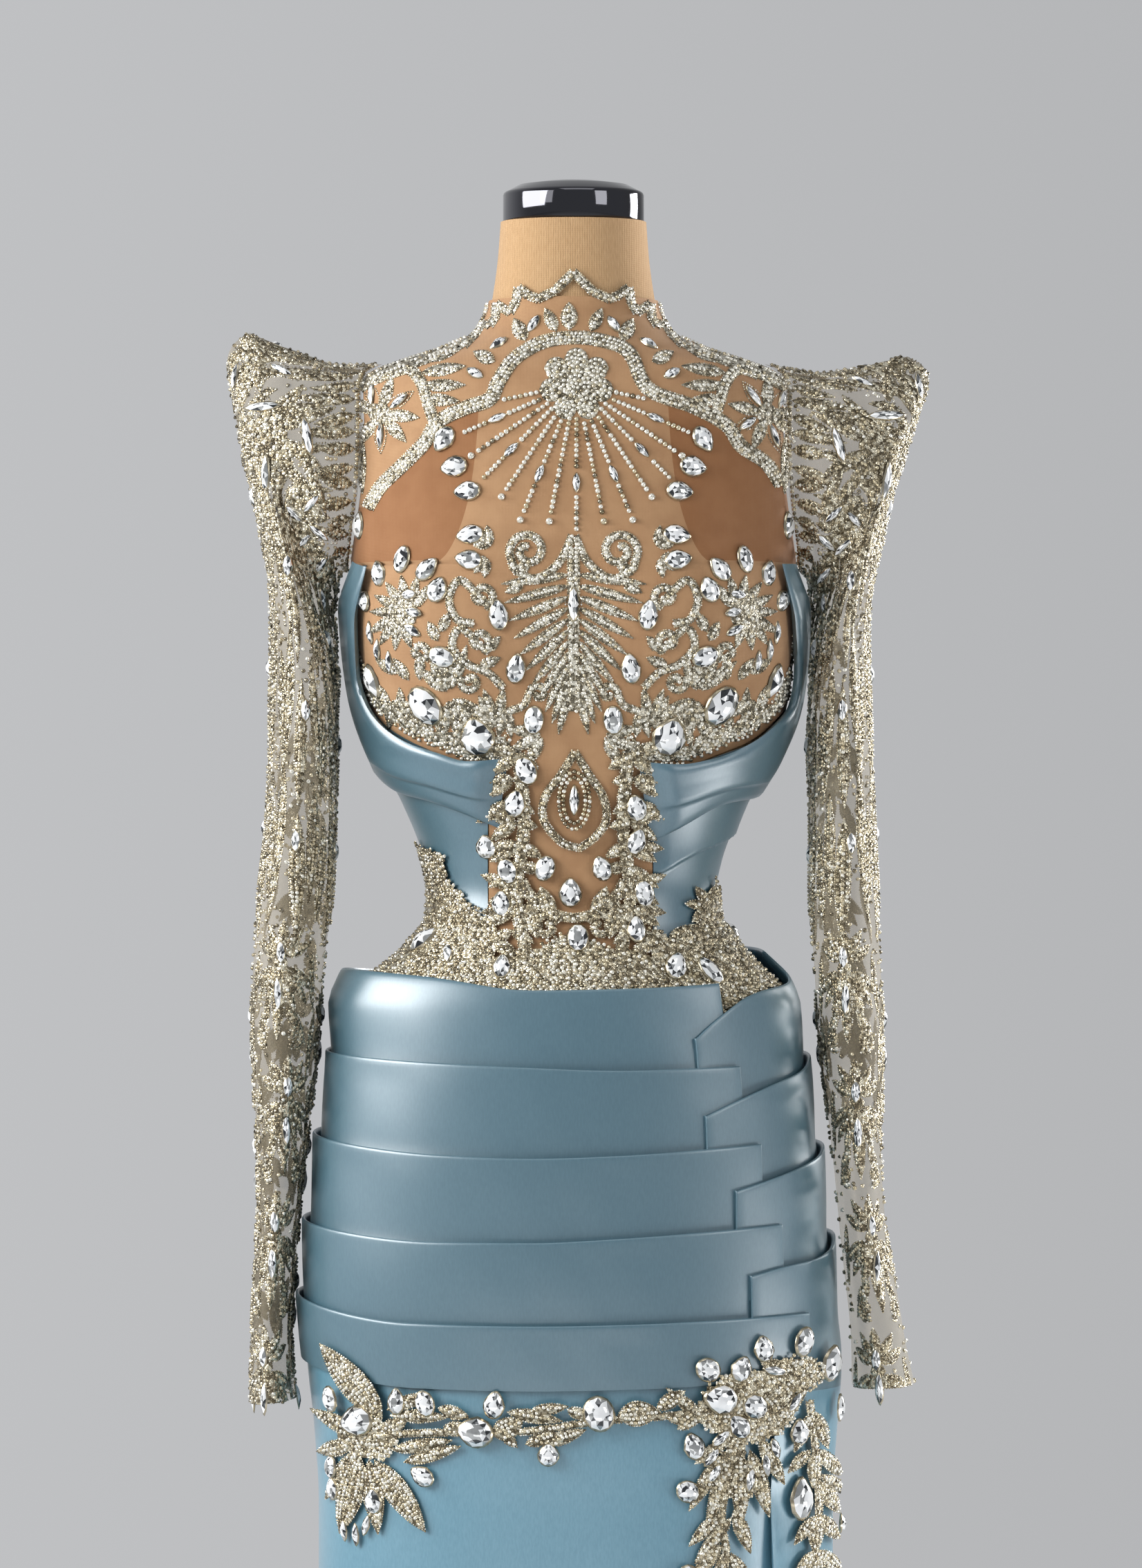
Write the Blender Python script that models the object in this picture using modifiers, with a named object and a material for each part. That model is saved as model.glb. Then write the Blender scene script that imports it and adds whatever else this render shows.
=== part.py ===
"""A mermaid gown on its limbless dress form, at real size, in metres, with +Z up.

The origin is the middle of the stand's underside, on the floor. The front of the gown faces -Y, so +X is
the wearer's left. Lengths in the tables are millimetres. A place on the figure is an angle round it, 0 at the
centre front and 90 at the wearer's left side, and a height. Every layer is made from the points of one figure
surface, moved out along its normal.
"""

import math
from collections import namedtuple

import bmesh
import bpy
from mathutils import Vector

MM = 0.001
COLLECTION = "mermaid_gown"
CUTTERS = "mermaid_gown_cutters"

# Named sizes of the stand and the form, in millimetres
BASE_RADIUS = 170.0
BASE_THICKNESS = 12.0
BASE_EDGE = 4.0
BASE_STEPS = 32
POLE_RADIUS = 12.5
POLE_STEPS = 16
CAP_RADIUS = 49.0
CAP_EDGE = 2.0
CAP_RIM_HEIGHT = 1557.0
CAP_TOP_HEIGHT = 1565.0
CAP_STEPS = 24
# Top of the neck cap: radius, and fall below its middle
CAP_DOME = ((0, 0.0), (20, 0.8), (38, 3.4))
FORM_TOP = 1535.7
FORM_BOTTOM = 664.0
FORM_TUCK_TOP = 720.0
FORM_UNDERSIDE = 14.0
FORM_COLUMNS = 22
# How far the form stays inside the figure, at the neck and below the shoulder
FORM_LIE_NECK = 1.0
FORM_LIE = 4.5
FORM_SHOULDER = (1450, 1428)
TOUCH = 0.3
MERGE = 0.00005
SHARP_ANGLE = 40.0

# Named sizes of the cloth, in millimetres
SEAM = 0.4
NET_WALL = 1.2
SATIN_WALL = 1.6
SKIRT_WALL = 1.8
SLEEVE_WALL = 1.5
BEADED_WALL = 1.8
BODICE_BOTTOM = 996.0
COLLAR_BOTTOM = 1461.0
COLLAR_MIDDLE = 1471.0
COLLAR_TOP = 1480.6
COLLAR_COLUMNS = 29
FRONT_COLUMNS = 16
BACK_NET_COLUMNS = 8
SATIN_FRONT_COLUMNS = 6
SATIN_BACK_COLUMNS = 7
SKIRT_TOP = 752.0
SKIRT_LIE = -2.0
SKIRT_STEP_ANGLE = 5
HEM_HEIGHT = 4.0
BACK_PANEL_TOP = 1292.0
SATIN_TOP = 1296.0
BODICE_TOP = 1460.4
BEAD_RISE = 2.4
BEAD_EDGE = 5.0

# The figure inside the cloth, a ring at each height, in millimetres
Section = namedtuple("Section", "height half_width front back centre")
SECTIONS = (
    Section(1565, 49.0, 49, 49, 0),
    Section(1536, 51.5, 52, 52, 0),
    Section(1510, 53.5, 54, 54, 0),
    Section(1481, 57.6, 57, 58, 0),
    Section(1471, 59.5, 58, 61, 0),
    Section(1462, 65, 61, 67, 0),
    Section(1454, 75, 65, 76, 0),
    Section(1446, 95, 71, 85, 0),
    Section(1438, 121, 77, 92, 0),
    Section(1430, 141, 83, 96, 0),
    Section(1416, 148, 90, 100, 0),
    Section(1395, 150, 97, 102, 0),
    Section(1350, 152, 106, 100, 0),
    Section(1300, 153, 111, 94, 0),
    Section(1250, 151, 110, 88, 1),
    Section(1210, 147, 104, 83, 1.5),
    Section(1165, 134, 93, 78, 1),
    Section(1133, 117, 85, 75, 0),
    Section(1093, 101.5, 77, 73, 0),
    Section(1071, 97.5, 75, 74, 0),
    Section(1052, 99.5, 77, 77, 0),
    Section(1033, 113, 81, 84, 0),
    Section(1015, 132, 87, 92, -2),
    Section(1004, 146, 91, 97, -4),
    Section(992, 154, 94, 102, -5),
    Section(956, 160, 100, 113, -4),
    Section(898, 169, 106, 122, -4),
    Section(841, 176, 109, 125, -4),
    Section(794, 181, 111, 124, -3),
    Section(750, 184, 111, 120, -1),
    Section(700, 180, 110, 116, 0),
    Section(650, 177, 108, 113, 0),
    Section(600, 177, 107, 112, 0),
    Section(550, 173, 105, 109, 0),
    Section(500, 171, 105, 109, 0),
    Section(450, 177, 110, 116, 0),
    Section(400, 190, 122, 132, 0),
    Section(340, 216, 146, 162, 0),
    Section(270, 256, 182, 212, 0),
    Section(200, 302, 224, 278, 0),
    Section(130, 350, 268, 354, 0),
    Section(60, 396, 310, 434, 0),
    Section(0, 428, 340, 496, 0),
)
SQUARENESS = 2.25

Bust = namedtuple("Bust", "angle height out spread_angle spread_height")
BUST = Bust(angle=42, height=1262, out=15, spread_angle=25, spread_height=54)

# Waves of the flared hem
Flare = namedtuple("Flare", "top depth count unevenness drift")
FLARE = Flare(top=520, depth=36, count=12, unevenness=0.3, drift=0.35)

# The armhole seam, an oval on the side of the bodice
Armhole = namedtuple("Armhole", "height half_height front_angle back_angle lift")
ARMHOLE = Armhole(height=1365, half_height=68, front_angle=15, back_angle=15, lift=3.2)

# The sleeve, one ring from armhole to hem: outer end and inner end of the flattened tube, and its half depth
Cuff = namedtuple("Cuff", "outer outer_height inner inner_height half_depth point")
RIGHT_SLEEVE = (
    Cuff(166, 1437, 163.0, 1289, 49, 0.0),
    Cuff(188, 1444, 164.0, 1281, 52, 0.1),
    Cuff(208, 1451, 165.0, 1273, 50, 0.4),
    Cuff(226, 1458, 165.5, 1265, 46, 0.65),
    Cuff(240, 1443, 165.5, 1257, 45, 0.7),
    Cuff(236, 1410, 165.0, 1249, 48, 0.55),
    Cuff(229, 1372, 164.5, 1239, 53, 0.3),
    Cuff(220, 1332, 164.0, 1226, 56, 0.1),
    Cuff(212, 1288, 163.5, 1207, 57, 0.0),
    Cuff(209, 1226, 164.0, 1172, 57, 0.0),
    Cuff(213, 1130, 166.0, 1110, 55, 0.0),
    Cuff(219, 1060, 169.0, 1055, 54, 0.0),
    Cuff(223, 1006, 174.5, 1006, 52, 0.0),
    Cuff(221, 926, 181.5, 926, 50, 0.0),
    Cuff(219, 846, 191.0, 846, 47, 0.0),
    Cuff(223, 772, 195.5, 772, 44, 0.0),
    Cuff(224, 718, 193.5, 721, 43, 0.0),
)
LEFT_SLEEVE = (
    Cuff(168, 1431, 163.0, 1289, 49, 0.0),
    Cuff(188, 1433, 164.0, 1281, 52, 0.1),
    Cuff(208, 1436, 165.0, 1273, 50, 0.4),
    Cuff(232, 1442, 165.5, 1265, 46, 0.65),
    Cuff(246, 1428, 165.5, 1257, 45, 0.7),
    Cuff(238, 1398, 165.0, 1249, 48, 0.55),
    Cuff(227, 1364, 164.5, 1239, 53, 0.3),
    Cuff(217, 1328, 164.0, 1226, 56, 0.1),
    Cuff(208, 1284, 163.5, 1207, 57, 0.0),
    Cuff(205, 1222, 164.0, 1172, 57, 0.0),
    Cuff(208, 1130, 164.0, 1110, 55, 0.0),
    Cuff(211, 1060, 165.0, 1055, 54, 0.0),
    Cuff(214, 1006, 168.0, 1006, 52, 0.0),
    Cuff(214, 926, 175.5, 926, 50, 0.0),
    Cuff(216, 846, 184.5, 846, 47, 0.0),
    Cuff(228, 775, 191.5, 775, 44, 0.0),
    Cuff(236, 731, 194.0, 729, 43, 0.0),
)
SLEEVE_COLUMNS = 14

# The folded tiers of the hip wrap: top edge, as a height at the centre back and at the side, then points on
# the front from the side to the folded end
Tier = namedtuple("Tier", "name side back_height side_height front tail end_tail")
TIERS = (
    Tier("wrap_tier_1", -1, 1012, 1005, ((-97, 1008), (-31, 1003), (34, 1004), (94, 1005)), 62, 55),
    Tier("wrap_fold_1", 1, 1030, 1021, ((137, 1012), (112, 996), (94, 983), (81, 971)), 74, 58),
    Tier("wrap_tier_2", -1, 968, 961, ((-97, 955), (-31, 952), (34, 950), (109, 952)), 66, 55),
    Tier("wrap_fold_2", 1, 964, 957, ((150, 947), (134, 940), (111, 930), (88, 919)), 72, 58),
    Tier("wrap_tier_3", -1, 912, 904, ((-91, 893), (-31, 891), (34, 893), (123, 899)), 66, 55),
    Tier("wrap_fold_3", 1, 902, 895, ((160, 887), (147, 881), (127, 874), (108, 868)), 72, 58),
    Tier("wrap_tier_4", -1, 853, 845, ((-91, 834), (-31, 834), (34, 837), (137, 844)), 66, 55),
    Tier("wrap_fold_4", 1, 840, 833, ((170, 824), (160, 819), (138, 815), (118, 810)), 96, 73),
    Tier("wrap_tier_5", -1, 800, 794, ((-109, 779), (-31, 778), (34, 779), (155, 783)), 36, 34),
)
TIER_EDGE = 9.0
TIER_SLOPE = 0.105
TIER_LEAST = 3.0
TIER_SIDE_FLARE = {"wrap_tier_1": 9.0, "wrap_fold_1": 4.0}
TIER_FLARE_FALL = 16.0
TIER_FLARE_POWER = 6
TIER_STEP_ANGLE = 8.0
TIER_TAIL_ANGLE = 34.0
TIER_ROWS = (0.0, 0.35, 1.0)

# Rolled satin folds under the bust: inner rail and outer rail, as places seen from the front
Rail = namedtuple("Rail", "inner inner_height outer outer_height")
RIGHT_FOLD = (
    Rail(-136, 1294, -146, 1299),
    Rail(-143, 1257, -156, 1265),
    Rail(-142, 1223, -157, 1225),
    Rail(-136, 1203, -152, 1196),
    Rail(-125, 1188, -138, 1167),
    Rail(-109, 1177, -117, 1144),
    Rail(-90, 1170, -94, 1136),
    Rail(-69, 1164, -69, 1126),
    Rail(-44, 1164, -50, 1140),
)
LEFT_FOLD = (
    Rail(137, 1296, 147, 1297),
    Rail(145, 1257, 156, 1265),
    Rail(147, 1223, 157, 1225),
    Rail(144, 1203, 156, 1194),
    Rail(130, 1187, 146, 1166),
    Rail(115, 1176, 130, 1143),
    Rail(92, 1166, 98, 1134),
    Rail(69, 1162, 74, 1120),
    Rail(44, 1162, 52, 1130),
)
FOLD_STATIONS = 15
# Across a rolled fold: share of the way from inner to outer rail, and how far its outside stands out
Roll = namedtuple("Roll", "share out")
ROLL = (Roll(0.0, 6.4), Roll(0.22, 11.0), Roll(0.55, 12.5), Roll(0.85, 9.5), Roll(1.0, 6.6))
ROLL_END_SHARE = 0.12
ROLL_END_OUT = 6.6

# Edge of the front satin panels towards the beadwork
SatinEdge = namedtuple("SatinEdge", "height right left")
SATIN_EDGE = (
    SatinEdge(SATIN_TOP, -141, 146),
    SatinEdge(1257, -148, 150),
    SatinEdge(1223, -147, 151),
    SatinEdge(1203, -141, 148),
    SatinEdge(1188, -130, 136),
    SatinEdge(1176, -112, 121),
    SatinEdge(1166, -90, 97),
    SatinEdge(1156, -70, 74),
    SatinEdge(1140, -58, 56),
    SatinEdge(1100, -58, 54),
    SatinEdge(1071, -58, 54),
    SatinEdge(1046, -58, 54),
    SatinEdge(1022, -58, 54),
    SatinEdge(BODICE_BOTTOM, -58, 54),
)

# Heights of the rows of points that cloth and form share, top to bottom
NECK_HEIGHTS = (BODICE_TOP, 1454, 1446, 1438, 1431, 1418, 1398, 1365, 1330, 1299)
BODICE_HEIGHTS = (*NECK_HEIGHTS, *(edge.height for edge in SATIN_EDGE))
SATIN_BACK_HEIGHTS = (BACK_PANEL_TOP, 1257, 1223, 1176, 1166, 1140, 1100, 1071, 1046, 1022, BODICE_BOTTOM)
FORM_NECK_HEIGHTS = (1508, 1485, 1471)
FORM_HIP_HEIGHTS = (950, 890, 820, 750, 700)
SKIRT_HEIGHTS = (680, 595, 515, 435, 350, 260, 168, 82, HEM_HEIGHT)

# Outlines of the beaded appliques, top and bottom edge at each place across the front
Outline = namedtuple("Outline", "across top bottom")
BUST_OUTLINE = (
    Outline(-138, 1285, 1212),
    Outline(-124, 1335, 1196),
    Outline(-100, 1362, 1182),
    Outline(-78, 1384, 1176),
    Outline(-56, 1394, 1160),
    Outline(-36, 1418, 1150),
    Outline(0, 1440, 1150),
    Outline(36, 1418, 1150),
    Outline(56, 1394, 1160),
    Outline(78, 1384, 1176),
    Outline(100, 1362, 1182),
    Outline(124, 1335, 1196),
    Outline(140, 1285, 1214),
)
WAIST_OUTLINE = (
    Outline(-140, 1112, 1012),
    Outline(-119, 1134, 1012),
    Outline(-104, 1108, 1013),
    Outline(-84, 1076, 1012),
    Outline(-66, 1060, 1013),
    Outline(-60, 1160, 1012),
    Outline(58, 1160, 1012),
    Outline(64, 1036, 1012),
    Outline(80, 1062, 1013),
    Outline(94, 1085, 1017),
    Outline(110, 1062, 1023),
    Outline(140, 1050, 1026),
)
BELT_OUTLINE = (
    Outline(-180, 760, 726),
    Outline(-166, 763, 660),
    Outline(-148, 752, 652),
    Outline(-129, 745, 628),
    Outline(-110, 743, 634),
    Outline(-86, 740, 660),
    Outline(-62, 738, 688),
    Outline(-24, 736, 678),
    Outline(16, 736, 694),
    Outline(53, 746, 700),
    Outline(77, 754, 660),
    Outline(98, 759, 668),
    Outline(120, 766, 671),
    Outline(136, 771, 655),
    Outline(152, 774, 642),
    Outline(170, 780, 632),
    Outline(177, 782, 626),
)
INNER_SPRAY = (
    Outline(77, 656, 606),
    Outline(86, 657, 566),
    Outline(98, 660, 548),
    Outline(110, 660, 566),
    Outline(120, 656, 610),
)
OUTER_SPRAY = (
    Outline(150, 639, 600),
    Outline(159, 636, 562),
    Outline(168, 628, 546),
    Outline(176, 624, 566),
    Outline(183, 620, 596),
)
YOKE_ARCH = (
    (-140, 1336),
    (-131, 1350),
    (-116, 1364),
    (-101, 1379),
    (-92, 1393),
    (-74, 1402),
    (-57, 1408),
    (-51, 1420),
    (-40, 1436),
    (-20, 1448),
    (2, 1451),
    (22, 1448),
    (38, 1440),
    (51, 1415),
    (82, 1403),
    (104, 1391),
    (114, 1377),
    (131, 1366),
    (141, 1352),
)
ARCH_HALF_WIDTH = 5.0
ARCH_STATIONS = 30
ARCH_LIE = 2.8
SCALLOP = 3.0
BELT_LIE_LOW = 2.6
BELT_LIE_TOP = 9.6
BELT_LIE_DRAPE = 6.4
BELT_TIER_HEIGHTS = (690, 762)
BELT_PAST_TIER_ANGLES = (70, 76)
BELT_DRAPE_ANGLES = (48, 56)
APPLIQUE_ROWS = 4
BELT_STEP = 24
SPRAY_STEP = 12
INNER_SPRAY_LIE = 1.6
OUTER_SPRAY_LIE = 6.0

# Crystal collar trim: a zigzag round the neck
Zigzag = namedtuple("Zigzag", "count top_height bottom_height depth front_rise front_spread lie")
COLLAR_TRIM = Zigzag(
    count=14, top_height=1480, bottom_height=1467, depth=5, front_rise=10, front_spread=45, lie=2.0
)

# Large stones that stand up from the appliques: place from the front, width, length and turn in degrees
Stone = namedtuple("Stone", "across height width length turn")
STONE_HEIGHT = 5.5
STONE_TABLE_SHARE = 0.55
STONE_GIRDLE = 1.2
STONE_SINK = 1.3
BIG_STONE_WIDTH = 18
BUST_STONES = (
    Stone(-100, 1222, 22, 27, -25),
    Stone(-65, 1179, 23, 26, 40),
    Stone(-88, 1362, 14, 18, 10),
    Stone(-70, 1315, 14, 18, -20),
    Stone(-51, 1261, 14, 20, 20),
    Stone(-39, 1225, 14, 20, -15),
    Stone(-118, 1300, 13, 17, 0),
    Stone(-92, 1288, 13, 17, 15),
    Stone(92, 1365, 14, 18, -10),
    Stone(76, 1315, 14, 18, 20),
    Stone(55, 1261, 14, 20, -20),
    Stone(47, 1226, 14, 20, 15),
    Stone(109, 1194, 22, 27, 25),
    Stone(74, 1180, 23, 26, -40),
    Stone(122, 1299, 13, 17, 0),
    Stone(102, 1254, 13, 17, -15),
    Stone(2, 1418, 24, 24, 0),
)
WAIST_STONES = (
    Stone(-32, 1140, 15, 20, 30),
    Stone(-39, 1122, 13, 17, -20),
    Stone(-44, 1087, 13, 17, 0),
    Stone(42, 1131, 15, 20, -30),
    Stone(42, 1108, 13, 17, 20),
    Stone(46, 1071, 13, 17, 0),
    Stone(0, 1135, 18, 30, 0),
    Stone(2, 1046, 14, 18, 0),
    Stone(-48, 1064, 13, 17, 10),
)
BELT_STONES = (
    Stone(-145, 711, 20, 26, 20),
    Stone(-162, 725, 13, 17, 0),
    Stone(-118, 725, 13, 17, 0),
    Stone(-66, 711, 18, 26, 0),
    Stone(-135, 662, 14, 20, 0),
    Stone(-102, 675, 13, 17, 0),
    Stone(16, 718, 22, 26, 0),
    Stone(98, 727, 20, 26, 30),
    Stone(111, 708, 13, 17, 0),
    Stone(151, 657, 20, 27, 0),
    Stone(150, 703, 14, 18, 0),
    Stone(171, 748, 20, 26, 0),
    Stone(89, 747, 13, 17, 0),
)

# Side drape over the left thigh, from its standing front edge to past the side
Drape = namedtuple("Drape", "front_angle back_angle top lie edge_out edge_fall ridge_out ridge_count")
DRAPE = Drape(
    front_angle=60,
    back_angle=150,
    top=730,
    lie=1.4,
    edge_out=8.0,
    edge_fall=30.0,
    ridge_out=5.0,
    ridge_count=3,
)
DRAPE_EDGE_RISE = (660, 580)
DRAPE_RIDGE_RISE = (570, 480)

Look = namedtuple("Look", "colour roughness metallic")
KNIT = Look((0.62, 0.52, 0.40), 0.95, 0.0)
CHROME = Look((0.85, 0.86, 0.88), 0.08, 1.0)
STAND_STEEL = Look((0.55, 0.56, 0.58), 0.35, 1.0)
NUDE_NET = Look((0.60, 0.36, 0.22), 0.7, 0.0)
IVORY_TULLE = Look((0.80, 0.76, 0.66), 0.6, 0.0)
BLUE_SATIN = Look((0.13, 0.28, 0.36), 0.3, 0.0)
BEADWORK = Look((0.70, 0.66, 0.55), 0.25, 0.4)


# Collections, materials and objects


def clear_scene():
    """Remove every object of the open scene."""
    for found in list(bpy.data.objects):
        bpy.data.objects.remove(found, do_unlink=True)


def new_collection(name):
    """Make a collection in the scene."""
    made = bpy.data.collections.new(name)
    bpy.context.scene.collection.children.link(made)
    return made


def make_material(name, look):
    """Principled material of one colour, roughness and metallic value."""
    material = bpy.data.materials.new(name)
    material.use_nodes = True
    shader = material.node_tree.nodes["Principled BSDF"]
    shader.inputs["Base Color"].default_value = (*look.colour, 1.0)
    shader.inputs["Roughness"].default_value = look.roughness
    shader.inputs["Metallic"].default_value = look.metallic
    return material


def add_object(name, mesh, collection, look):
    """Put a mesh in the collection under a node's name, with its own material."""
    made = bpy.data.objects.new(name, mesh)
    collection.objects.link(made)
    made.data.materials.append(make_material(name + "_material", look))
    mesh.shade_smooth()
    mesh.set_sharp_from_angle(angle=math.radians(SHARP_ANGLE))
    return made


# The figure: smooth rings, bust and hem waves


def smooth_value(keys, values, at):
    """Monotone cubic through points whose keys rise."""
    if at <= keys[0]:
        return values[0]
    if at >= keys[-1]:
        return values[-1]
    index = max(i for i in range(len(keys) - 1) if keys[i] <= at)
    steps = [keys[i + 1] - keys[i] for i in range(len(keys) - 1)]
    slopes = [(values[i + 1] - values[i]) / steps[i] for i in range(len(steps))]
    start = knot_slope(slopes, steps, index)
    end = knot_slope(slopes, steps, index + 1)
    step = steps[index]
    share = (at - keys[index]) / step
    return (
        (1 + 2 * share) * (1 - share) ** 2 * values[index]
        + share * (1 - share) ** 2 * step * start
        + share**2 * (3 - 2 * share) * values[index + 1]
        + share**2 * (share - 1) * step * end
    )


def knot_slope(slopes, steps, index):
    """Slope of the monotone cubic at a point."""
    if index == 0:
        return slopes[0]
    if index == len(slopes):
        return slopes[-1]
    before, after = slopes[index - 1], slopes[index]
    if before * after <= 0:
        return 0.0
    weight_before = 2 * steps[index] + steps[index - 1]
    weight_after = steps[index] + 2 * steps[index - 1]
    return (weight_before + weight_after) / (weight_before / before + weight_after / after)


SECTION_KEYS = [section.height for section in reversed(SECTIONS)]
SECTION_VALUES = {
    field: [getattr(section, field) for section in reversed(SECTIONS)]
    for field in ("half_width", "front", "back", "centre")
}


def bell(value, centre, spread):
    """Smooth hump of height 1."""
    return math.exp(-(((value - centre) / spread) ** 2))


def figure(angle, height):
    """Point of the figure's surface in millimetres."""
    angle = (angle + 180) % 360 - 180
    turn = math.radians(angle)
    sizes = {field: smooth_value(SECTION_KEYS, column, height) for field, column in SECTION_VALUES.items()}
    depth = sizes["front"] if math.cos(turn) > 0 else sizes["back"]
    across = abs(math.sin(turn)) / sizes["half_width"]
    along = abs(math.cos(turn)) / depth
    radius = (across**SQUARENESS + along**SQUARENESS) ** (-1 / SQUARENESS)
    for side in (-1, 1):
        nearness = bell(angle, side * BUST.angle, BUST.spread_angle)
        radius += BUST.out * nearness * bell(height, BUST.height, BUST.spread_height)
    if height < FLARE.top:
        share = (FLARE.top - height) / FLARE.top
        uneven = 1 + FLARE.unevenness * math.sin(2 * turn + 1)
        wave = math.cos(FLARE.count * turn + FLARE.drift * math.sin(3 * turn))
        radius += FLARE.depth * share**2 * uneven * wave
    return Vector((radius * math.sin(turn) + sizes["centre"], -radius * math.cos(turn), height))


def skin(angle, height, out):
    """Point that lies a distance outside the figure, along its normal."""
    round_step = figure(angle + 0.5, height) - figure(angle - 0.5, height)
    up_step = figure(angle, height + 1) - figure(angle, height - 1)
    return figure(angle, height) + round_step.cross(up_step).normalized() * out


def angle_at(across, height):
    """Angle on the front of the figure whose point has this X, at most the side."""
    low, high = -90.0, 90.0
    for _ in range(32):
        middle = (low + high) / 2
        if figure(middle, height).x < across:
            low = middle
        else:
            high = middle
    return (low + high) / 2


# Walls of cloth


def wall_mesh(name, outer, inner, closed=False):
    """Closed wall between two matching grids of points; closed grids run all the way round."""
    rows = len(outer)
    columns = len(outer[0])
    points = [point * MM for grid in (outer, inner) for row in grid for point in row]
    shift = rows * columns
    last = columns if closed else columns - 1
    faces = []
    for row in range(rows - 1):
        for column in range(last):
            beside = (column + 1) % columns
            a, b = row * columns + column, row * columns + beside
            c, d = a + columns, b + columns
            faces += [(a, b, d), (a, d, c)]
            faces += [(a + shift, d + shift, b + shift), (a + shift, c + shift, d + shift)]
    for column in range(last):
        beside = (column + 1) % columns
        for row in (0, rows - 1):
            a, b = row * columns + column, row * columns + beside
            faces += [(a, b, b + shift), (a, b + shift, a + shift)]
    if not closed:
        for row in range(rows - 1):
            for column in (0, columns - 1):
                a, b = row * columns + column, (row + 1) * columns + column
                faces += [(a, b, b + shift), (a, b + shift, a + shift)]
    mesh = bpy.data.meshes.new(name)
    mesh.from_pydata(points, [], faces)
    turn_out(mesh)
    return mesh


def turn_out(mesh):
    """Turn every face of a closed mesh outwards."""
    work = bmesh.new()
    work.from_mesh(mesh)
    bmesh.ops.recalc_face_normals(work, faces=work.faces)
    if work.calc_volume(signed=True) < 0:
        bmesh.ops.reverse_faces(work, faces=work.faces)
    work.to_mesh(mesh)
    work.free()


def steady(value):
    """Distance that is the same everywhere."""
    return lambda angle, height: value


def panel(name, places, lie, thickness, collection, look, rise=steady(0.0)):
    """Cloth panel over a grid of places: the gap under it, its wall, and what rises from it."""
    inner, outer = [], []
    for row in places:
        ins, outs = [], []
        for angle, height in row:
            gap = lie(angle, height)
            ins.append(skin(angle, height, gap))
            outs.append(skin(angle, height, gap + thickness + rise(angle, height)))
        inner.append(ins)
        outer.append(outs)
    return add_object(name, wall_mesh(name, outer, inner), collection, look)


def ramp(value, limits):
    """Share of the way from the first limit to the second, held at 0 and 1."""
    return min(1.0, max(0.0, (value - limits[0]) / (limits[1] - limits[0])))


def spread(start, end, count):
    """Evenly spaced values from start to end."""
    return [start + (end - start) * index / (count - 1) for index in range(count)]


def seam_angle(angle, height):
    """Angle that half of a seam's gap takes up at a place on the figure."""
    return math.degrees(SEAM / 2 / figure(angle, height).xy.length)


# Dress form


def form_lie(height):
    """How far the form stays inside the figure."""
    shoulder = ramp(height, FORM_SHOULDER)
    underside = ramp(height, (FORM_TUCK_TOP, FORM_BOTTOM))
    return -(FORM_LIE_NECK + (FORM_LIE - FORM_LIE_NECK) * shoulder + FORM_UNDERSIDE * underside**2)


def build_torso(collection):
    """Limbless torso, a closed body of rings from the neck to below the hips."""
    heights = (FORM_TOP, *FORM_NECK_HEIGHTS, *BODICE_HEIGHTS, *FORM_HIP_HEIGHTS, FORM_BOTTOM)
    columns = FORM_COLUMNS
    rings = []
    for height in heights:
        lie = form_lie(height)
        rings.append([skin(360 * column / columns, height, lie) for column in range(columns)])
    for ring in (rings[0], rings[-1]):
        level = FORM_TOP if ring is rings[0] else FORM_BOTTOM
        for point in ring:
            point.z = level
    points = [point * MM for ring in rings for point in ring]
    faces = [tuple(range(columns)), tuple(range(len(points) - columns, len(points)))]
    for row in range(len(rings) - 1):
        for column in range(columns):
            beside = (column + 1) % columns
            a, b = row * columns + column, row * columns + beside
            faces.append((a, b, b + columns, a + columns))
    mesh = bpy.data.meshes.new("form_torso")
    mesh.from_pydata(points, [], faces)
    turn_out(mesh)
    return add_object("form_torso", mesh, collection, KNIT)


def turned(name, profile, steps, collection, look):
    """Solid turned round the upright axis from a profile of (radius, height), top to bottom."""
    mesh = bpy.data.meshes.new(name)
    points = [(radius * MM, 0.0, height * MM) for radius, height in profile]
    mesh.from_pydata(points, [(i, i + 1) for i in range(len(points) - 1)], [])
    made = add_object(name, mesh, collection, look)
    screw = made.modifiers.new("Turn", "SCREW")
    screw.axis = "Z"
    screw.angle = 2 * math.pi
    screw.steps = steps
    screw.render_steps = steps
    screw.use_merge_vertices = True
    screw.merge_threshold = MERGE
    return made


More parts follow.
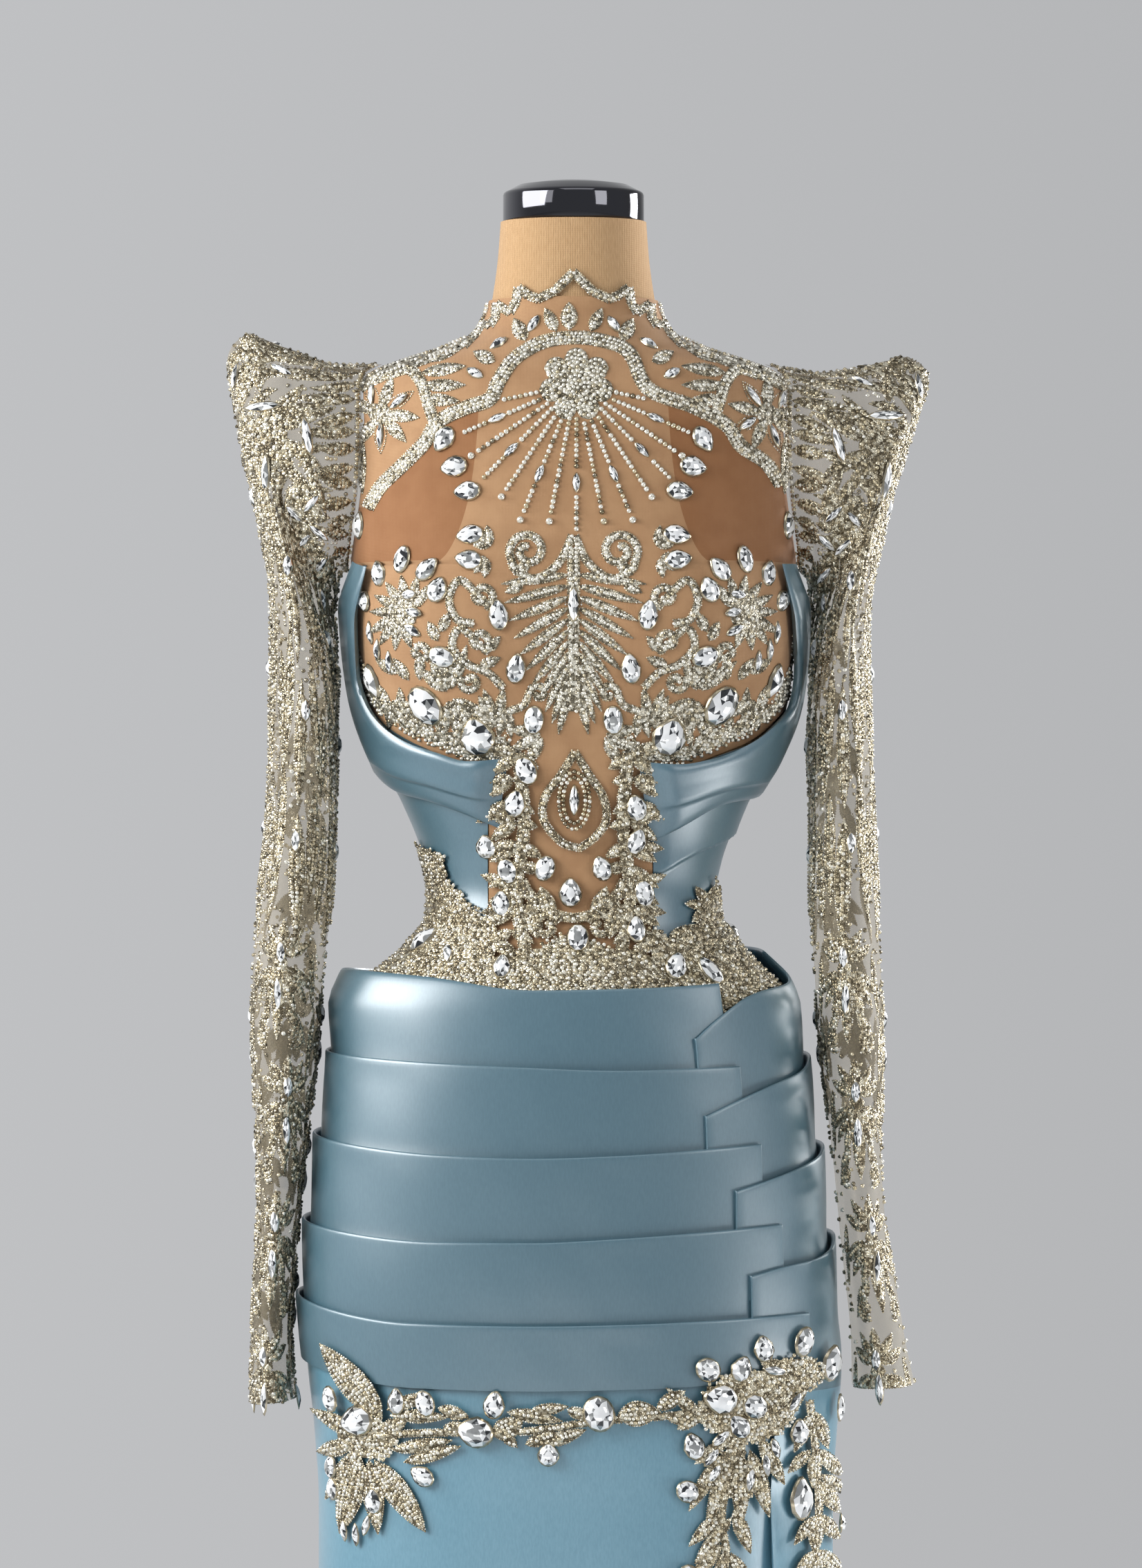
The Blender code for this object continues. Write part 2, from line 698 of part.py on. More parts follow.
def build_stand(collection):
    """Chrome neck cap, pole and round base."""
    cap_profile = [(radius, CAP_TOP_HEIGHT - fall) for radius, fall in CAP_DOME]
    cap_profile += [
        (CAP_RADIUS - CAP_EDGE, CAP_RIM_HEIGHT),
        (CAP_RADIUS, CAP_RIM_HEIGHT - CAP_EDGE),
        (CAP_RADIUS, FORM_TOP + TOUCH),
        (0, FORM_TOP + TOUCH),
    ]
    turned("form_neck_cap", cap_profile, CAP_STEPS, collection, CHROME)
    base_profile = (
        (0, BASE_THICKNESS),
        (BASE_RADIUS - BASE_EDGE, BASE_THICKNESS),
        (BASE_RADIUS, BASE_THICKNESS - BASE_EDGE),
        (BASE_RADIUS, 0),
        (0, 0),
    )
    turned("form_base", base_profile, BASE_STEPS, collection, STAND_STEEL)
    length = (FORM_BOTTOM - BASE_THICKNESS - 2 * TOUCH) * MM
    bpy.ops.mesh.primitive_cylinder_add(
        vertices=POLE_STEPS,
        radius=POLE_RADIUS * MM,
        depth=length,
        location=(0, 0, (BASE_THICKNESS + TOUCH) * MM + length / 2),
    )
    pole = bpy.context.active_object
    pole.name = "form_pole"
    for holder in list(pole.users_collection):
        holder.objects.unlink(pole)
    collection.objects.link(pole)
    pole.data.materials.append(make_material("form_pole_material", STAND_STEEL))
    pole.data.shade_smooth()
    pole.data.set_sharp_from_angle(angle=math.radians(SHARP_ANGLE))


# Net bodice and collar


def armhole_share(height):
    """How wide the armhole is at a height, from 0 at its ends to 1 in its middle."""
    offset = (height - ARMHOLE.height) / ARMHOLE.half_height
    return math.sqrt(max(0.0, 1 - offset * offset))


def front_side(height):
    """Angle of the front's side edge: shoulder seam, armhole, then side seam."""
    return 90 - ARMHOLE.front_angle * armhole_share(height) - seam_angle(90, height)


def back_side(height):
    """Angle of a back half's side edge."""
    return 90 + ARMHOLE.back_angle * armhole_share(height) + seam_angle(90, height)


def outline_rise(outline, across, height):
    """How far inside an outline a place lies, from 0 at its edge to 1."""
    if not outline[0].across < across < outline[-1].across:
        return 0.0
    top, bottom = outline_edges(outline, across)
    return min(1.0, max(0.0, min(top - height, height - bottom) / BEAD_EDGE))


def beadwork_rise(angle, height):
    """How far the thick beaded appliques of the bust and waist stand up from the cloth under them."""
    across = figure(angle, height).x
    share = max(outline_rise(BUST_OUTLINE, across, height), outline_rise(WAIST_OUTLINE, across, height))
    return BEAD_RISE * share


def build_net_bodice(collection, cutters):
    """Beaded front in one piece, and two back halves that meet at the centre back."""
    front = []
    for height in NECK_HEIGHTS:
        side = front_side(height)
        front.append([(angle, height) for angle in spread(-side, side, FRONT_COLUMNS)])
    for edge in SATIN_EDGE:
        start = angle_at(edge.right, edge.height)
        start += 2 * seam_angle(start, edge.height)
        end = angle_at(edge.left, edge.height)
        end -= 2 * seam_angle(end, edge.height)
        front.append([(angle, edge.height) for angle in spread(start, end, FRONT_COLUMNS)])
    made = panel("bodice_front", front, steady(0.0), NET_WALL, collection, NUDE_NET, beadwork_rise)

    def outside(stone):
        return NET_WALL + beadwork_rise(angle_at(stone.across, stone.height), stone.height)

    add_stones("bodice_stones", made, BUST_STONES + WAIST_STONES, outside, cutters)
    upper = [*NECK_HEIGHTS, BACK_PANEL_TOP + SEAM]
    for name, side in (("bodice_back_right", -1), ("bodice_back_left", 1)):
        places = []
        for height in upper:
            angles = spread(back_side(height), 180 - seam_angle(180, height), BACK_NET_COLUMNS)
            places.append([(side * angle, height) for angle in angles])
        panel(name, places, steady(0.0), NET_WALL, collection, NUDE_NET)


def build_collar(collection):
    """Stand collar, one band that opens at the centre back."""
    gap = seam_angle(180, COLLAR_TOP)
    places = [
        [(angle, height) for angle in spread(-180 + gap, 180 - gap, COLLAR_COLUMNS)]
        for height in (COLLAR_TOP, COLLAR_MIDDLE, COLLAR_BOTTOM)
    ]
    panel("stand_collar", places, steady(0.0), NET_WALL, collection, NUDE_NET)


# Sleeves


def ring_points(cuff, side, columns):
    """Ring of the flattened sleeve tube, from its outer end round by the front."""
    outer = Vector((side * cuff.outer, 0, cuff.outer_height))
    inner = Vector((side * cuff.inner, 0, cuff.inner_height))
    centre = (outer + inner) / 2
    reach = (outer - inner) / 2
    ring = []
    for column in range(columns):
        turn = 2 * math.pi * column / columns
        narrowing = 1 - cuff.point * max(0.0, math.cos(turn)) ** 2
        forward = Vector((0, -cuff.half_depth * math.sin(turn) * narrowing, 0))
        ring.append(centre + reach * math.cos(turn) + forward)
    return ring


def armhole_ring(side, columns):
    """First ring of a sleeve, just outside the armhole's edge."""
    ring = []
    for column in range(columns):
        turn = 2 * math.pi * column / columns
        height = ARMHOLE.height + (ARMHOLE.half_height + SLEEVE_WALL) * math.cos(turn)
        width = ARMHOLE.front_angle if math.sin(turn) > 0 else ARMHOLE.back_angle
        ring.append(skin(side * (90 - width * math.sin(turn)), height, ARMHOLE.lift))
    return ring


def inset(grid, distance, side):
    """The same closed rings moved inwards along the tube's own normals."""
    rows, columns = len(grid), len(grid[0])
    moved = []
    for row in range(rows):
        above, below = grid[max(row - 1, 0)], grid[min(row + 1, rows - 1)]
        line = []
        for column in range(columns):
            around = grid[row][(column + 1) % columns] - grid[row][column - 1]
            along = below[column] - above[column]
            normal = around.cross(along).normalized() * -side
            line.append(grid[row][column] - normal * distance)
        moved.append(line)
    return moved


def build_sleeves(collection):
    """One open tube a sleeve, from the armhole to the hem."""
    for name, side, cuffs in (("sleeve_right", -1, RIGHT_SLEEVE), ("sleeve_left", 1, LEFT_SLEEVE)):
        outer = [armhole_ring(side, SLEEVE_COLUMNS)]
        outer += [ring_points(cuff, side, SLEEVE_COLUMNS) for cuff in cuffs]
        inner = inset(outer, SLEEVE_WALL, side)
        mesh = wall_mesh(name, outer, inner, closed=True)
        add_object(name, mesh, collection, IVORY_TULLE)


# Satin bodice panels and the rolled folds under the bust


def build_satin_panels(collection):
    """Front and back satin panels over and beside the net."""
    for name, side, column in (("satin_front_right", -1, "right"), ("satin_front_left", 1, "left")):
        places = []
        for edge in SATIN_EDGE:
            start = angle_at(getattr(edge, column), edge.height)
            end = side * (90 - seam_angle(90, edge.height))
            places.append([(angle, edge.height) for angle in spread(start, end, SATIN_FRONT_COLUMNS)])
        panel(name, places, steady(0.0), SATIN_WALL, collection, BLUE_SATIN, beadwork_rise)
    for name, side in (("satin_back_right", -1), ("satin_back_left", 1)):
        places = []
        for height in SATIN_BACK_HEIGHTS:
            angles = spread(90 + seam_angle(90, height), 180 - seam_angle(180, height), SATIN_BACK_COLUMNS)
            places.append([(side * angle, height) for angle in angles])
        panel(name, places, steady(0.0), SATIN_WALL, collection, BLUE_SATIN)


def along_rails(rails, share):
    """Inner and outer place of a fold's rails at a share of the way along."""
    keys = list(range(len(rails)))
    at = share * (len(rails) - 1)
    values = [smooth_value(keys, [getattr(rail, field) for rail in rails], at) for field in Rail._fields]
    return Rail(*values)


def build_rolled_folds(collection):
    """Satin folds that roll out under the bust, from the underarm to the centre."""
    for name, rails in (("bust_fold_right", RIGHT_FOLD), ("bust_fold_left", LEFT_FOLD)):
        outer, inner = [], []
        for share in spread(0, 1, FOLD_STATIONS):
            rail = along_rails(rails, share)
            start = angle_at(rail.inner, rail.inner_height)
            end = angle_at(rail.outer, rail.outer_height)
            fullness = min(1.0, min(share, 1 - share) / ROLL_END_SHARE)
            outs, ins = [], []
            for roll in ROLL:
                angle = start + (end - start) * roll.share
                height = rail.inner_height + (rail.outer_height - rail.inner_height) * roll.share
                out = ROLL_END_OUT + (roll.out - ROLL_END_OUT) * fullness
                outs.append(skin(angle, height, out))
                ins.append(skin(angle, height, out - SATIN_WALL))
            outer.append(outs)
            inner.append(ins)
        add_object(name, wall_mesh(name, outer, inner), collection, BLUE_SATIN)


# Hip wrap


def tier_stations(tier):
    """Angles and heights of a tier's folded top edge, rising in angle."""
    stations = [(tier.side * 180, tier.back_height), (tier.side * 90, tier.side_height)]
    stations += [(angle_at(across, height), height) for across, height in tier.front]
    return sorted(stations)


def tier_lift(tier, angle, drop):
    """How far a tier's outside stands off the figure, a drop below its folded edge."""
    lift = max(TIER_EDGE - TIER_SLOPE * drop, TIER_LEAST)
    flare = TIER_SIDE_FLARE.get(tier.name, 0.0)
    sideways = abs(math.sin(math.radians(angle))) ** TIER_FLARE_POWER
    return lift + flare * sideways * math.exp(-drop / TIER_FLARE_FALL)


def tier_tail(tier, angle, start, end):
    """How far a tier runs on under the next, less near its folded end at the front."""
    folded_end = end if tier.side < 0 else start
    share = min(1.0, abs(angle - folded_end) / TIER_TAIL_ANGLE)
    return tier.end_tail + (tier.tail - tier.end_tail) * share


def build_tiers(collection):
    """Folded tiers that wrap the hips from both sides, each lying over the one above."""
    for tier in TIERS:
        stations = tier_stations(tier)
        keys = [angle for angle, _ in stations]
        heights = [height for _, height in stations]
        gap = seam_angle(180, tier.side_height)
        start, end = keys[0], keys[-1]
        if tier.side < 0:
            start += gap
        else:
            end -= gap
        count = round((end - start) / TIER_STEP_ANGLE) + 1
        outer, inner = [], []
        for depth in TIER_ROWS:
            outs, ins = [], []
            for angle in spread(start, end, count):
                drop = depth * tier_tail(tier, angle, start, end)
                height = smooth_value(keys, heights, angle) - drop
                lift = tier_lift(tier, angle, drop)
                outs.append(skin(angle, height, lift))
                ins.append(skin(angle, height, lift - SATIN_WALL))
            outer.append(outs)
            inner.append(ins)
        add_object(tier.name, wall_mesh(tier.name, outer, inner), collection, BLUE_SATIN)


# Skirt and side drape


def build_skirt(collection):
    """Front and back of the mermaid skirt, from under the wrap to the hem."""
    for name, middle in (("skirt_front", 0), ("skirt_back", 180)):
        places = []
        for height in (SKIRT_TOP, *SKIRT_HEIGHTS):
            gap = seam_angle(90, height)
            inside = range(middle - 90 + SKIRT_STEP_ANGLE, middle + 90, SKIRT_STEP_ANGLE)
            angles = [middle - 90 + gap, *inside, middle + 90 - gap]
            places.append([(angle, height) for angle in angles])
        panel(name, places, steady(SKIRT_LIE), SKIRT_WALL, collection, BLUE_SATIN)


def drape_lie(share, height):
    """Gap under the drape: a standing front edge, then soft upright ridges."""
    edge = DRAPE.edge_out * ramp(height, DRAPE_EDGE_RISE) * math.exp(-share * DRAPE.edge_fall)
    wave = math.sin(math.pi * DRAPE.ridge_count * share) ** 2
    ridges = DRAPE.ridge_out * ramp(height, DRAPE_RIDGE_RISE) * wave
    return DRAPE.lie + edge + ridges


def build_drape(collection):
    """Side drape that falls from the belt over the left thigh to the hem."""
    angles = range(DRAPE.front_angle, DRAPE.back_angle + 1, SKIRT_STEP_ANGLE)
    outer, inner = [], []
    for height in (DRAPE.top, *SKIRT_HEIGHTS):
        outs, ins = [], []
        for angle in angles:
            lie = drape_lie((angle - DRAPE.front_angle) / (DRAPE.back_angle - DRAPE.front_angle), height)
            outs.append(skin(angle, height, lie + SATIN_WALL))
            ins.append(skin(angle, height, lie))
        outer.append(outs)
        inner.append(ins)
    add_object("side_drape", wall_mesh("side_drape", outer, inner), collection, BLUE_SATIN)


# Beaded appliques and their large stones


def outline_edges(outline, across):
    """Top and bottom of an outline at a place across the front, in straight runs between its rows."""
    for before, after in zip(outline, outline[1:]):
        if across <= after.across:
            share = (across - before.across) / (after.across - before.across)
            top = before.top + (after.top - before.top) * share
            return top, before.bottom + (after.bottom - before.bottom) * share
    return outline[-1].top, outline[-1].bottom


def outline_places(outline, rows, step):
    """Grid of places that fills an outline, with its own rows kept and long runs divided."""
    stops = [outline[0].across]
    for before, after in zip(outline, outline[1:]):
        parts = max(1, round((after.across - before.across) / step))
        stops += spread(before.across, after.across, parts + 1)[1:]
    columns = []
    for index, across in enumerate(stops):
        top, bottom = outline_edges(outline, across)
        if 0 < index < len(stops) - 1 and index % 2:
            top -= SCALLOP
            bottom += SCALLOP
        columns.append([(angle_at(across, height), height) for height in spread(top, bottom, rows)])
    return [[column[row] for column in columns] for row in range(rows)]


def stone_rings(stone, lift):
    """Foot, girdle and table of a faceted stone that stands on the applique's outside."""
    angle = angle_at(stone.across, stone.height)
    foot = skin(angle, stone.height, lift - STONE_SINK)
    out = (skin(angle, stone.height, lift + 1) - foot).normalized()
    side = Vector((0, 0, 1)).cross(out).normalized() * -1
    up = out.cross(side).normalized()
    turn = math.radians(stone.turn)
    rings = []
    sides = 8 if stone.width >= BIG_STONE_WIDTH else 6
    levels = [(1.0, 0.0), (STONE_TABLE_SHARE, STONE_SINK + STONE_HEIGHT)]
    if stone.width >= BIG_STONE_WIDTH:
        levels.insert(1, (1.0, STONE_SINK + STONE_GIRDLE))
    for share, rise in levels:
        ring = []
        for corner in range(sides):
            around = 2 * math.pi * (corner + 0.5) / sides
            across = stone.width / 2 * share * math.sin(around)
            along = stone.length / 2 * share * math.cos(around)
            flat = side * (across * math.cos(turn) - along * math.sin(turn))
            flat += up * (across * math.sin(turn) + along * math.cos(turn))
            ring.append((foot + flat + out * rise) * MM)
        rings.append(ring)
    return rings


def add_stones(name, applique, stones, lift, cutters):
    """Join the applique's large stones to it with one Boolean union."""
    work = bmesh.new()
    for stone in stones:
        rings = [[work.verts.new(point) for point in ring] for ring in stone_rings(stone, lift(stone))]
        work.faces.new(rings[0])
        work.faces.new(rings[-1])
        for below, above in zip(rings, rings[1:]):
            for corner in range(len(below)):
                beside = (corner + 1) % len(below)
                work.faces.new((below[corner], below[beside], above[beside], above[corner]))
    bmesh.ops.recalc_face_normals(work, faces=work.faces)
    mesh = bpy.data.meshes.new(name)
    work.to_mesh(mesh)
    work.free()
    helper = bpy.data.objects.new(name, mesh)
    cutters.objects.link(helper)
    helper.hide_render = True
    helper.display_type = "WIRE"
    union = applique.modifiers.new("Stones", "BOOLEAN")
    union.operation = "UNION"
    union.solver = "EXACT"
    union.object = helper


def belt_lie(angle, height):
    """Gap under the belt: over the wrap's last tier at its top, near the skirt or the drape elsewhere."""
    over_tier = BELT_LIE_LOW + (BELT_LIE_TOP - BELT_LIE_LOW) * ramp(height, BELT_TIER_HEIGHTS)
    past_tier = ramp(angle, BELT_PAST_TIER_ANGLES)
    over_drape = BELT_LIE_LOW + (BELT_LIE_DRAPE - BELT_LIE_LOW) * ramp(angle, BELT_DRAPE_ANGLES)
    return max(over_drape, over_tier * (1 - past_tier) + BELT_LIE_DRAPE * past_tier)


def build_belt(collection, cutters):
    """Beaded belt over the hips and the two sprays that hang from it."""
    places = outline_places(BELT_OUTLINE, APPLIQUE_ROWS, BELT_STEP)
    belt = panel("applique_belt", places, belt_lie, BEADED_WALL, collection, BEADWORK)

    def outside(stone):
        return belt_lie(angle_at(stone.across, stone.height), stone.height) + BEADED_WALL

    add_stones("belt_stones", belt, BELT_STONES, outside, cutters)
    for name, outline, lie in (
        ("applique_spray_inner", INNER_SPRAY, INNER_SPRAY_LIE),
        ("applique_spray_outer", OUTER_SPRAY, OUTER_SPRAY_LIE),
    ):
        places = outline_places(outline, APPLIQUE_ROWS, SPRAY_STEP)
        panel(name, places, steady(lie), BEADED_WALL, collection, BEADWORK)


def build_yoke_arch(collection):
    """Double row of crystals that arches from armhole to armhole over the bust."""
    keys = list(range(len(YOKE_ARCH)))
    rows = [[], [], []]
    for share in spread(0, len(YOKE_ARCH) - 1, ARCH_STATIONS):
        across = smooth_value(keys, [place[0] for place in YOKE_ARCH], share)
        height = smooth_value(keys, [place[1] for place in YOKE_ARCH], share)
        for row, offset in zip(rows, (ARCH_HALF_WIDTH, 0, -ARCH_HALF_WIDTH)):
            row.append((angle_at(across, height + offset), height + offset))
    panel("applique_yoke_arch", rows, steady(ARCH_LIE), BEADED_WALL, collection, BEADWORK)


def build_collar_trim(collection):
    """Crystal zigzag round the collar, highest at the centre front."""
    gap = seam_angle(180, COLLAR_TOP)
    rows = [[], [], []]
    for index, angle in enumerate(spread(-180 + gap, 180 - gap, 2 * COLLAR_TRIM.count + 1)):
        zigzag = COLLAR_TRIM.depth * (1 if index % 2 else -1)
        rise = COLLAR_TRIM.front_rise * bell(angle, 0, COLLAR_TRIM.front_spread)
        top = COLLAR_TRIM.top_height + rise - zigzag
        bottom = COLLAR_TRIM.bottom_height + zigzag
        for row, height in zip(rows, (top, (top + bottom) / 2, bottom)):
            row.append((angle, height))
    panel("collar_trim", rows, steady(COLLAR_TRIM.lie), BEADED_WALL, collection, BEADWORK)


def main():
    """Build the form, then the gown from the body outwards."""
    clear_scene()
    collection = new_collection(COLLECTION)
    cutters = new_collection(CUTTERS)
    build_torso(collection)
    build_stand(collection)
    build_net_bodice(collection, cutters)
    build_collar(collection)
    build_sleeves(collection)
    build_satin_panels(collection)
    build_rolled_folds(collection)
    build_tiers(collection)
    build_skirt(collection)
    build_drape(collection)
    build_belt(collection, cutters)
    build_yoke_arch(collection)
    build_collar_trim(collection)


main()
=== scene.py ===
"""Looks of the mermaid gown on its dress form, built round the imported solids.

Lengths in the tables are millimetres and become metres when a mesh is made. As in the part's source, a place
on the figure is an angle round it, 0 at the centre front and 90 at the wearer's left, and a height. Cloth
pieces are thin shells on the same figure; beads and stones stand on the cloth.
"""

import math
from collections import namedtuple

import bmesh
import bpy
import numpy as np
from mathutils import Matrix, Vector


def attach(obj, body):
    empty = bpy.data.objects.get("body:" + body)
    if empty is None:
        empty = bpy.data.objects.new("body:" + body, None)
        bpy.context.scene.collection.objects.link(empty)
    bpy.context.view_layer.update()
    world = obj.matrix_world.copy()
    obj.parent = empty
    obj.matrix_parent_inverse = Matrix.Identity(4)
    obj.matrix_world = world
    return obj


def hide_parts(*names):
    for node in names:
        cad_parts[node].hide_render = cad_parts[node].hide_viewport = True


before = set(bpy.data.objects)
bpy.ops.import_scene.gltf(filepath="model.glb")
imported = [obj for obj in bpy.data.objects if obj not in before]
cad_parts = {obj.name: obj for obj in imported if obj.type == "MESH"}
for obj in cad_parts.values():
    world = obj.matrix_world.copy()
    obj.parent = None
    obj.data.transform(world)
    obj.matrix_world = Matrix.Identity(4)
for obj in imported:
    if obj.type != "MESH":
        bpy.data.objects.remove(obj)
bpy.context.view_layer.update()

MM = 0.001
RANDOM = np.random.default_rng(11)

# The figure, a ring at each height: half width, front depth, back depth and centre line
SECTIONS = np.array((
    (1565, 49.0, 49, 49, 0), (1536, 51.5, 52, 52, 0), (1510, 53.5, 54, 54, 0), (1481, 57.6, 57, 58, 0),
    (1471, 59.5, 58, 61, 0), (1462, 65, 61, 67, 0), (1454, 75, 65, 76, 0), (1446, 95, 71, 85, 0),
    (1438, 121, 77, 92, 0), (1430, 141, 83, 96, 0), (1416, 148, 90, 100, 0), (1395, 150, 97, 102, 0),
    (1350, 152, 106, 100, 0), (1300, 153, 111, 94, 0), (1250, 151, 110, 88, 1), (1210, 147, 104, 83, 1.5),
    (1165, 134, 93, 78, 1), (1133, 117, 85, 75, 0), (1093, 101.5, 77, 73, 0), (1071, 97.5, 75, 74, 0),
    (1052, 99.5, 77, 77, 0), (1033, 113, 81, 84, 0), (1015, 132, 87, 92, -2), (1004, 146, 91, 97, -4),
    (992, 154, 94, 102, -5), (956, 160, 100, 113, -4), (898, 169, 106, 122, -4), (841, 176, 109, 125, -4),
    (794, 181, 111, 124, -3), (750, 184, 111, 120, -1), (700, 180, 110, 116, 0), (650, 177, 108, 113, 0),
    (600, 177, 107, 112, 0), (550, 173, 105, 109, 0), (500, 171, 105, 109, 0), (450, 177, 110, 116, 0),
    (400, 190, 122, 132, 0), (340, 216, 146, 162, 0), (270, 256, 182, 212, 0), (200, 302, 224, 278, 0),
    (130, 350, 268, 354, 0), (60, 396, 310, 434, 0), (0, 428, 340, 496, 0),
), float)[::-1]
SQUARENESS = 2.25
Bust = namedtuple("Bust", "angle height out spread_angle spread_height")
BUST = Bust(angle=42, height=1262, out=15, spread_angle=25, spread_height=54)
Flare = namedtuple("Flare", "top depth count unevenness drift")
FLARE = Flare(top=520, depth=36, count=12, unevenness=0.3, drift=0.35)

Armhole = namedtuple("Armhole", "height half_height front_angle back_angle lift")
ARMHOLE = Armhole(height=1365, half_height=68, front_angle=15, back_angle=15, lift=3.2)
SLEEVE_WALL = 1.5
# The sleeve, a ring at each place: outer end, its height, inner end, its height, half depth, pointedness
RIGHT_SLEEVE = np.array((
    (166, 1437, 163.0, 1289, 49, 0.0), (188, 1444, 164.0, 1281, 52, 0.1), (208, 1451, 165.0, 1273, 50, 0.4),
    (226, 1458, 165.5, 1265, 46, 0.65), (240, 1443, 165.5, 1257, 45, 0.7),
    (236, 1410, 165.0, 1249, 48, 0.55), (229, 1372, 164.5, 1239, 53, 0.3),
    (220, 1332, 164.0, 1226, 56, 0.1), (212, 1288, 163.5, 1207, 57, 0.0), (209, 1226, 164.0, 1172, 57, 0.0),
    (213, 1130, 166.0, 1110, 55, 0.0), (219, 1060, 169.0, 1055, 54, 0.0), (223, 1006, 174.5, 1006, 52, 0.0),
    (221, 926, 181.5, 926, 50, 0.0), (219, 846, 191.0, 846, 47, 0.0), (223, 772, 195.5, 772, 44, 0.0),
    (224, 718, 193.5, 721, 43, 0.0),
))
LEFT_SLEEVE = np.array((
    (168, 1431, 163.0, 1289, 49, 0.0), (188, 1433, 164.0, 1281, 52, 0.1), (208, 1436, 165.0, 1273, 50, 0.4),
    (232, 1442, 165.5, 1265, 46, 0.65), (246, 1428, 165.5, 1257, 45, 0.7),
    (238, 1398, 165.0, 1249, 48, 0.55), (227, 1364, 164.5, 1239, 53, 0.3),
    (217, 1328, 164.0, 1226, 56, 0.1), (208, 1284, 163.5, 1207, 57, 0.0), (205, 1222, 164.0, 1172, 57, 0.0),
    (208, 1130, 164.0, 1110, 55, 0.0), (211, 1060, 165.0, 1055, 54, 0.0), (214, 1006, 168.0, 1006, 52, 0.0),
    (214, 926, 175.5, 926, 50, 0.0), (216, 846, 184.5, 846, 47, 0.0), (228, 775, 191.5, 775, 44, 0.0),
    (236, 731, 194.0, 729, 43, 0.0),
))

# Folded tiers of the hip wrap, as in the part's source
Tier = namedtuple("Tier", "name side back_height side_height front tail end_tail")
TIERS = (
    Tier("wrap_tier_1", -1, 1012, 1005, ((-97, 1008), (-31, 1003), (34, 1004), (94, 1005)), 62, 55),
    Tier("wrap_fold_1", 1, 1030, 1021, ((137, 1012), (112, 996), (94, 983), (81, 971)), 74, 58),
    Tier("wrap_tier_2", -1, 968, 961, ((-97, 955), (-31, 952), (34, 950), (109, 952)), 66, 55),
    Tier("wrap_fold_2", 1, 964, 957, ((150, 947), (134, 940), (111, 930), (88, 919)), 72, 58),
    Tier("wrap_tier_3", -1, 912, 904, ((-91, 893), (-31, 891), (34, 893), (123, 899)), 66, 55),
    Tier("wrap_fold_3", 1, 902, 895, ((160, 887), (147, 881), (127, 874), (108, 868)), 72, 58),
    Tier("wrap_tier_4", -1, 853, 845, ((-91, 834), (-31, 834), (34, 837), (137, 844)), 66, 55),
    Tier("wrap_fold_4", 1, 840, 833, ((170, 824), (160, 819), (138, 815), (118, 810)), 96, 73),
    Tier("wrap_tier_5", -1, 800, 794, ((-109, 779), (-31, 778), (34, 779), (155, 783)), 36, 34),
)
TIER_EDGE = 9.0
TIER_SLOPE = 0.105
TIER_LEAST = 3.0
TIER_SIDE_FLARE = {"wrap_tier_1": 9.0, "wrap_fold_1": 4.0}
TIER_FLARE_FALL = 16.0
TIER_FLARE_POWER = 6
TIER_TAIL_ANGLE = 34.0

# Rolled folds under the bust: across and height of the inner rail, then of the outer rail
RIGHT_FOLD = np.array((
    (-136, 1294, -146, 1299), (-143, 1257, -156, 1265), (-142, 1223, -157, 1225), (-136, 1203, -152, 1196),
    (-125, 1188, -138, 1167), (-109, 1177, -117, 1144), (-90, 1170, -94, 1136), (-69, 1164, -69, 1126),
    (-44, 1164, -50, 1140),
), float)
LEFT_FOLD = np.array((
    (137, 1296, 147, 1297), (145, 1257, 156, 1265), (147, 1223, 157, 1225), (144, 1203, 156, 1194),
    (130, 1187, 146, 1166), (115, 1176, 130, 1143), (92, 1166, 98, 1134), (69, 1162, 74, 1120),
    (44, 1162, 52, 1130),
), float)

# Edge of the satin fronts towards the beadwork: height, across on the right, across on the left
SATIN_EDGE = np.array((
    (1296, -141, 146), (1257, -148, 150), (1223, -147, 151), (1203, -141, 148), (1188, -130, 136),
    (1176, -112, 121), (1166, -90, 97), (1156, -70, 74), (1140, -58, 56), (1100, -58, 54), (1071, -58, 54),
    (1046, -58, 54), (1022, -58, 54), (996, -58, 54),
), float)[::-1]
NET_TOP = 1460.7
COLLAR_TOP = 1480.6
BODICE_BOTTOM = 996.0
SATIN_TOP = 1296.0
BACK_PANEL_TOP = 1292.0
SKIRT_TOP = 752.0
HEM_HEIGHT = 4.0
SEAM = 0.4
SIDES = (("right", -1), ("left", 1))


# The figure as arrays

# Half steps of angle and height for a normal, and halvings that find an angle
NORMAL_TURN = 0.5
NORMAL_RISE = 1
HALVINGS = 26


def knot_slopes(keys, values):
    """Slopes of a monotone cubic at its knots."""
    steps = np.diff(keys)
    slopes = np.diff(values) / steps
    found = np.empty(len(keys))
    found[0], found[-1] = slopes[0], slopes[-1]
    before, after = slopes[:-1], slopes[1:]
    weight_before = 2 * steps[1:] + steps[:-1]
    weight_after = steps[1:] + 2 * steps[:-1]
    with np.errstate(divide="ignore", invalid="ignore"):
        mean = (weight_before + weight_after) / (weight_before / before + weight_after / after)
    found[1:-1] = np.where(before * after > 0, mean, 0.0)
    return found


